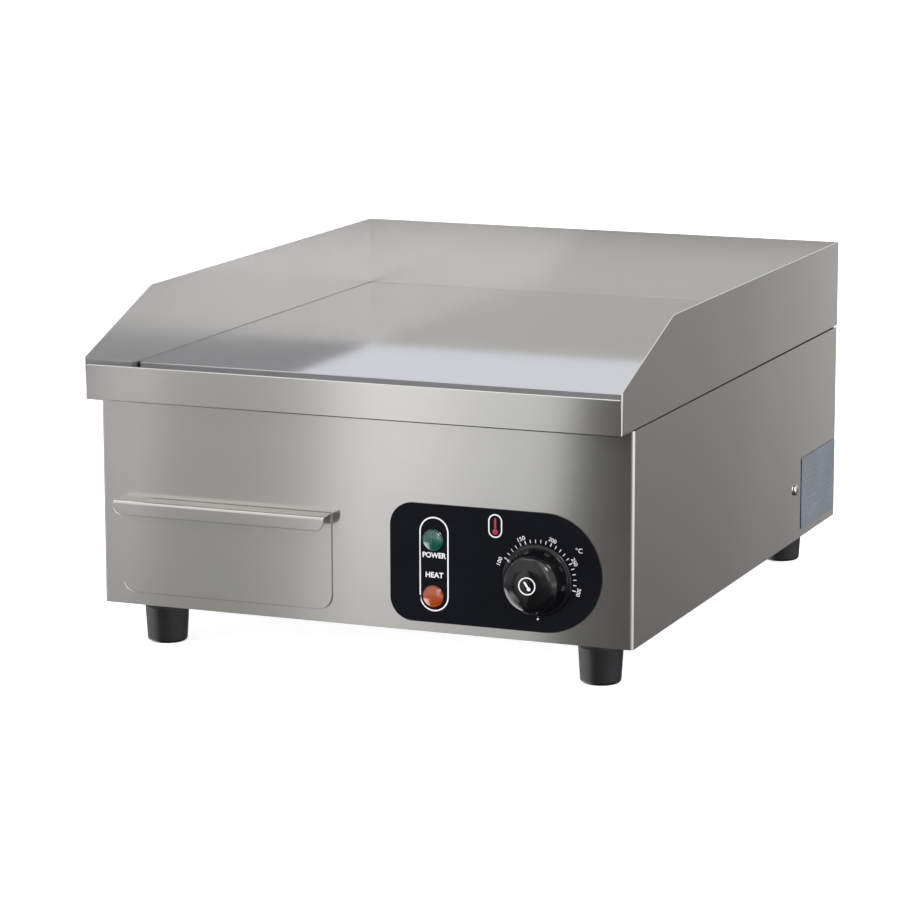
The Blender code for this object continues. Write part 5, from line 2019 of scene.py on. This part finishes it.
@dataclass
class MainsEntry(SubAssembly):
    """The cable gland, the bonding stud, the terminal block and the wires from it."""

    wire: float = 0.0014
    well: float = 0.003
    way_pitch: float = 0.012

    def build(self) -> None:
        """Makes the gland's three pieces, the stud and nut, the terminals and the wires."""
        self._gland()
        self._bonding()
        self._terminals()
        self._wires()

    def _gland(self) -> None:
        """The nylon gland: a body with a hexagon collar, its ribbed clamping cap and its locknut."""
        x, _, z = middle_of("cable_gland")
        seat = high_of("rear_panel").y + GAP
        at, bore, outside, end = (x, seat, z), 0.0052, 0.0077, low_of("cable_gland").y - seat
        body = Form().turned([(bore, 0.008), (outside, 0.008), (outside, end), (bore, end)], at, AWAY)
        collar = bar((x, z), 0.012, Axis.Y, seat, seat + 0.004, 6).softened(0.0005, 3, 40.0)
        collar.minus(bar((x, z), 0.006, Axis.Y, seat - OVER, seat + OVER, 48))
        body.plus(collar).piece("gland_body", PLASTIC, replaced=["cable_gland"])
        low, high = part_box("gland_cap")
        reach, start = high.y - seat, low.y - seat
        radius = (high.x - low.x) / 2
        profile = rounded([
            (0.0081, start, 0.0), (radius, start, 0.0004), (radius, start + 0.0052, 0.0008),
            (0.0088, reach - 0.0005, 0.0006), (0.0082, reach, 0.0003), (bore, reach, 0.0003),
            (bore, 0.0083, 0.0), (0.0081, 0.0083, 0.0),
        ], 10)
        cap = Form().turned(profile, at, AWAY, 96)
        notch = rectangle((radius - 0.0005, -0.0007), (radius + 0.001, 0.0007), 0.0003)
        notches = [Form().prism(about(notch, (x, z), 22.5 * k), Axis.Y, seat + start - 0.001,
                                seat + start + 0.0046) for k in range(16)]
        cap.minus(*notches).piece("gland_clamp_cap", PLASTIC, replaced=["gland_cap"])
        self._nut("gland_locknut", "gland_nut", 0.0082, 64, PLASTIC)

    def _nut(self, node: str, name: str, hole: float, flats: int, finish: Finish) -> None:
        """A hexagon nut.

        Args:
            node: The frame's own nut.
            name: The piece's name.
            hole: Its hole's radius.
            flats: How many flats go round the hole.
            finish: What it is made of.
        """
        low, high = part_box(node)
        middle = Axis.Y.pair((low + high) / 2)
        nut = bar(middle, (high.x - low.x) / 2, Axis.Y, low.y, high.y, 6).softened(0.0004, sharper=40.0)
        nut.minus(bar(middle, hole, Axis.Y, low.y - OVER, high.y + OVER, flats))
        nut.piece(name, finish, replaced=[node])

    def _bonding(self) -> None:
        """The equipotential bonding stud through the rear cover, with its hexagon nut."""
        low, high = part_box("bonding_stud")
        x, _, z = (low + high) / 2
        head, thick, bevel = (high.x - low.x) / 2, 0.003, 0.0003
        profile = [(0.0, 0.0), (head - bevel, 0.0), (head, bevel), (head, thick - bevel),
                   (head - bevel, thick), (0.0, thick)]
        shank = threaded((x, low.y + thick, z), AWAY, 0.003, high.y - low.y - thick, 0.001)
        stud = Form().turned(profile, (x, low.y, z), AWAY, 48).plus(shank)
        stud.piece("bonding_stud_turned", ZINC, replaced=["bonding_stud"])
        self._nut("bonding_nut", "bonding_nut_hex", 0.0033, 40, ZINC)

    def _terminals(self) -> None:
        """A ceramic block of three ways, each with a screw at either end."""
        low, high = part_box("terminal_block")
        middle = (low.x + high.x) / 2
        ways, half = [middle + self.way_pitch * k for k in (-1, 0, 1)], self.way_pitch / 2
        ends, level = (low.y + 0.007, high.y - 0.007), (low.z + high.z) / 2
        cuts = [bar((x, y), self.well, Axis.Z, high.z - 0.005, high.z + OVER) for x in ways for y in ends]
        cuts += [Form().block((x - 0.0004, low.y - 0.001, high.z - 0.002),
                              (x + 0.0004, high.y + 0.001, high.z + OVER))
                 for x in (middle - half, middle + half)]
        cuts += [bar((x, level), 0.002, Axis.Y, start, end, 32)
                 for start, end in ((low.y - OVER, low.y + 0.004), (high.y - 0.004, high.y + OVER))
                 for x in ways]
        shape = slab("terminal_block", Axis.Z, 0.002).softened(0.0008, 3)
        shape.minus(*cuts).piece("terminal_ceramic", CERAMIC, replaced=["terminal_block"])
        head = [(0.0, -0.0048), (0.0026, -0.0048), (0.0026, -0.003), (0.0022, -0.0026),
                (0.0004, -0.0026), (0.0004, -0.0032), (0.0, -0.0032)]
        screws = Form()
        for x in ways:
            for y in ends:
                screws.turned(head, (x, y, high.z), UP, 40)
        screws.piece("terminal_screws", ZINC)

    def _wires(self) -> None:
        """Three insulated wires from the terminals, with a metal ferrule at each end."""
        low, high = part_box("terminal_block")
        middle = (low + high) / 2
        front, rear, level = low.y, high.y, middle.z
        left, right = middle.x - self.way_pitch, middle.x + self.way_pitch
        panel, knob = low_of("body_wrap").y, middle_of("control_knob")
        element_low, element_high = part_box("heating_element_right")
        foot, tail = element_low.z - GAP, element_high.y - ELEMENT_RADIUS
        first, last = -element_low.x - ELEMENT_RADIUS, element_high.x - ELEMENT_RADIUS
        routes = (
            ("wire_thermostat", RED_WIRE, [
                (left, front - 2 * GAP, level), (left, front - 0.02, level),
                (0.12, front - 0.08, level + 0.004), (0.138, 0.0, level + 0.01),
                (knob.x, panel + 0.08, knob.z - 0.01), (knob.x, panel + 0.055, knob.z),
                (knob.x, panel + 0.0356, knob.z)]),
            ("wire_heater_right", BLUE_WIRE, [
                (right, rear + 2 * GAP, level), (right, rear + 0.01, level),
                (0.14, rear + 0.02, level + 0.03), (last, tail, foot - 0.03), (last, tail, foot)]),
            ("wire_heater_left", WHITE_WIRE, [
                (left, rear + 2 * GAP, level), (left, rear + 0.01, level),
                (0.04, rear + 0.018, level + 0.03), (first, tail, foot - 0.03), (first, tail, foot)]),
        )
        inside, outside = self.wire + 0.00003, self.wire + 0.0005
        collar = [(inside, 0.0), (outside, 0.0002), (outside, 0.0046), (inside, 0.005)]
        for node, finish, route in routes:
            path = smooth_path(route)
            Form().tube(path, self.wire, 20).piece(f"{node}_insulated", finish, replaced=[node])
            ferrules = Form()
            for end, inner in ((path[0], path[2]), (path[-1], path[-3])):
                along = (inner - end).normalized()
                ferrules.turned(collar, tuple(end + along * 0.0004), tuple(along), 32)
            ferrules.piece(f"{node}_ferrules", ZINC)


SUB_ASSEMBLIES = (Studio, TopUnit, Casing, Feet, ControlPanel, GreaseDrawer, HeatingUnit, Controls,
                  MainsEntry)

FLOOR = PaleFloor("pale_floor", Slot.NONE)
STEEL = BrushedSteel("brushed_stainless", Slot.STEEL)
PLATE = PolishedPlate("polished_cooking_plate", Slot.PLATE)
SCREW = PlatedMetal("bright_screw", Slot.SCREW, (0.72, 0.72, 0.71), (0.62, 0.62, 0.62), 0.16)
ZINC = PlatedMetal("zinc_plating", Slot.ZINC, (0.66, 0.67, 0.66), (0.56, 0.57, 0.6), 0.28)
COPPER = PlatedMetal("copper_tube", Slot.COPPER, (0.72, 0.4, 0.26), (0.5, 0.27, 0.18), 0.3)
GALVANISED = Galvanised("galvanised_sheet", Slot.GALVANISED)
SHEATH = HeatedSheath("element_sheath", Slot.SHEATH)
OVERLAY = Moulded("satin_faceplate", Slot.OVERLAY, (0.0024, 0.0028, 0.0048), (0.0036, 0.0042, 0.0068), 0.32,
                  0.05, 3200.0, 0.000004, specular=0.1)
KNOB = Moulded("gloss_knob", Slot.KNOB, (0.0022, 0.0022, 0.0026), (0.0035, 0.0035, 0.0042), 0.3, 0.02,
               1500.0, 0.0000002, coat=0.9, coat_roughness=0.05, specular=0.06)
GREEN = Lens("green_lens", Slot.GREEN, (0.0, 0.035, 0.026), (0.0, 0.19, 0.135))
AMBER = Lens("amber_lens", Slot.AMBER, (0.21, 0.026, 0.0), (0.46, 0.085, 0.001))
RUBBER = Moulded("black_rubber", Slot.RUBBER, (0.006, 0.006, 0.007), (0.012, 0.012, 0.013), 0.36, 0.12,
                 900.0, 0.00002, specular=0.35)
SILICONE = Moulded("black_silicone", Slot.SILICONE, (0.008, 0.008, 0.009), (0.014, 0.014, 0.015), 0.5, 0.08,
                   1200.0, 0.00001)
PLASTIC = Moulded("black_nylon", Slot.PLASTIC, (0.012, 0.012, 0.013), (0.022, 0.022, 0.023), 0.38, 0.08,
                  1600.0, 0.00001)
PHENOLIC = Moulded("brown_phenolic", Slot.PHENOLIC, (0.1, 0.035, 0.018), (0.16, 0.062, 0.034), 0.4, 0.1,
                   420.0, 0.00001)
CERAMIC = Moulded("white_ceramic", Slot.CERAMIC, (0.76, 0.73, 0.66), (0.82, 0.8, 0.74), 0.42, 0.1,
                  700.0, 0.00002)
FIBRE = FibreMat("ceramic_fibre_mat", Slot.FIBRE)
BUTTON = Moulded("red_button", Slot.BUTTON, (0.5, 0.018, 0.012), (0.6, 0.03, 0.02), 0.3, 0.06, 1400.0,
                 0.000008, coat=0.3)
FOIL = Moulded("silver_foil", Slot.LABEL, (0.22, 0.25, 0.3), (0.29, 0.325, 0.375), 0.3, 0.08, 500.0,
               0.00001, metallic=0.75)
WHITE_INK = Moulded("white_ink", Slot.OVERLAY, (0.6, 0.6, 0.62), (0.68, 0.68, 0.7), 0.45, 0.06, 2500.0)
RED_INK = Moulded("red_ink", Slot.OVERLAY, (0.26, 0.012, 0.035), (0.33, 0.02, 0.05), 0.45, 0.06, 2500.0)
GREY_INK = Moulded("grey_ink", Slot.LABEL, (0.1, 0.11, 0.14), (0.16, 0.17, 0.2), 0.45, 0.06, 2500.0)
RED_WIRE = Moulded("red_wire", Slot.RED_WIRE, (0.42, 0.03, 0.022), (0.52, 0.05, 0.035), 0.42, 0.08, 900.0)
BLUE_WIRE = Moulded("blue_wire", Slot.BLUE_WIRE, (0.03, 0.07, 0.38), (0.05, 0.11, 0.48), 0.42, 0.08, 900.0)
WHITE_WIRE = Moulded("white_wire", Slot.WHITE_WIRE, (0.68, 0.67, 0.63), (0.78, 0.77, 0.74), 0.42, 0.08, 900.0)


def main() -> None:
    """Builds the griddle, one sub-assembly after another."""
    logging.basicConfig(level=logging.INFO, format="%(message)s")
    for part in SUB_ASSEMBLIES:
        log.info("building %s", part.__name__)
        part().build()


if __name__ == "__main__":
    main()
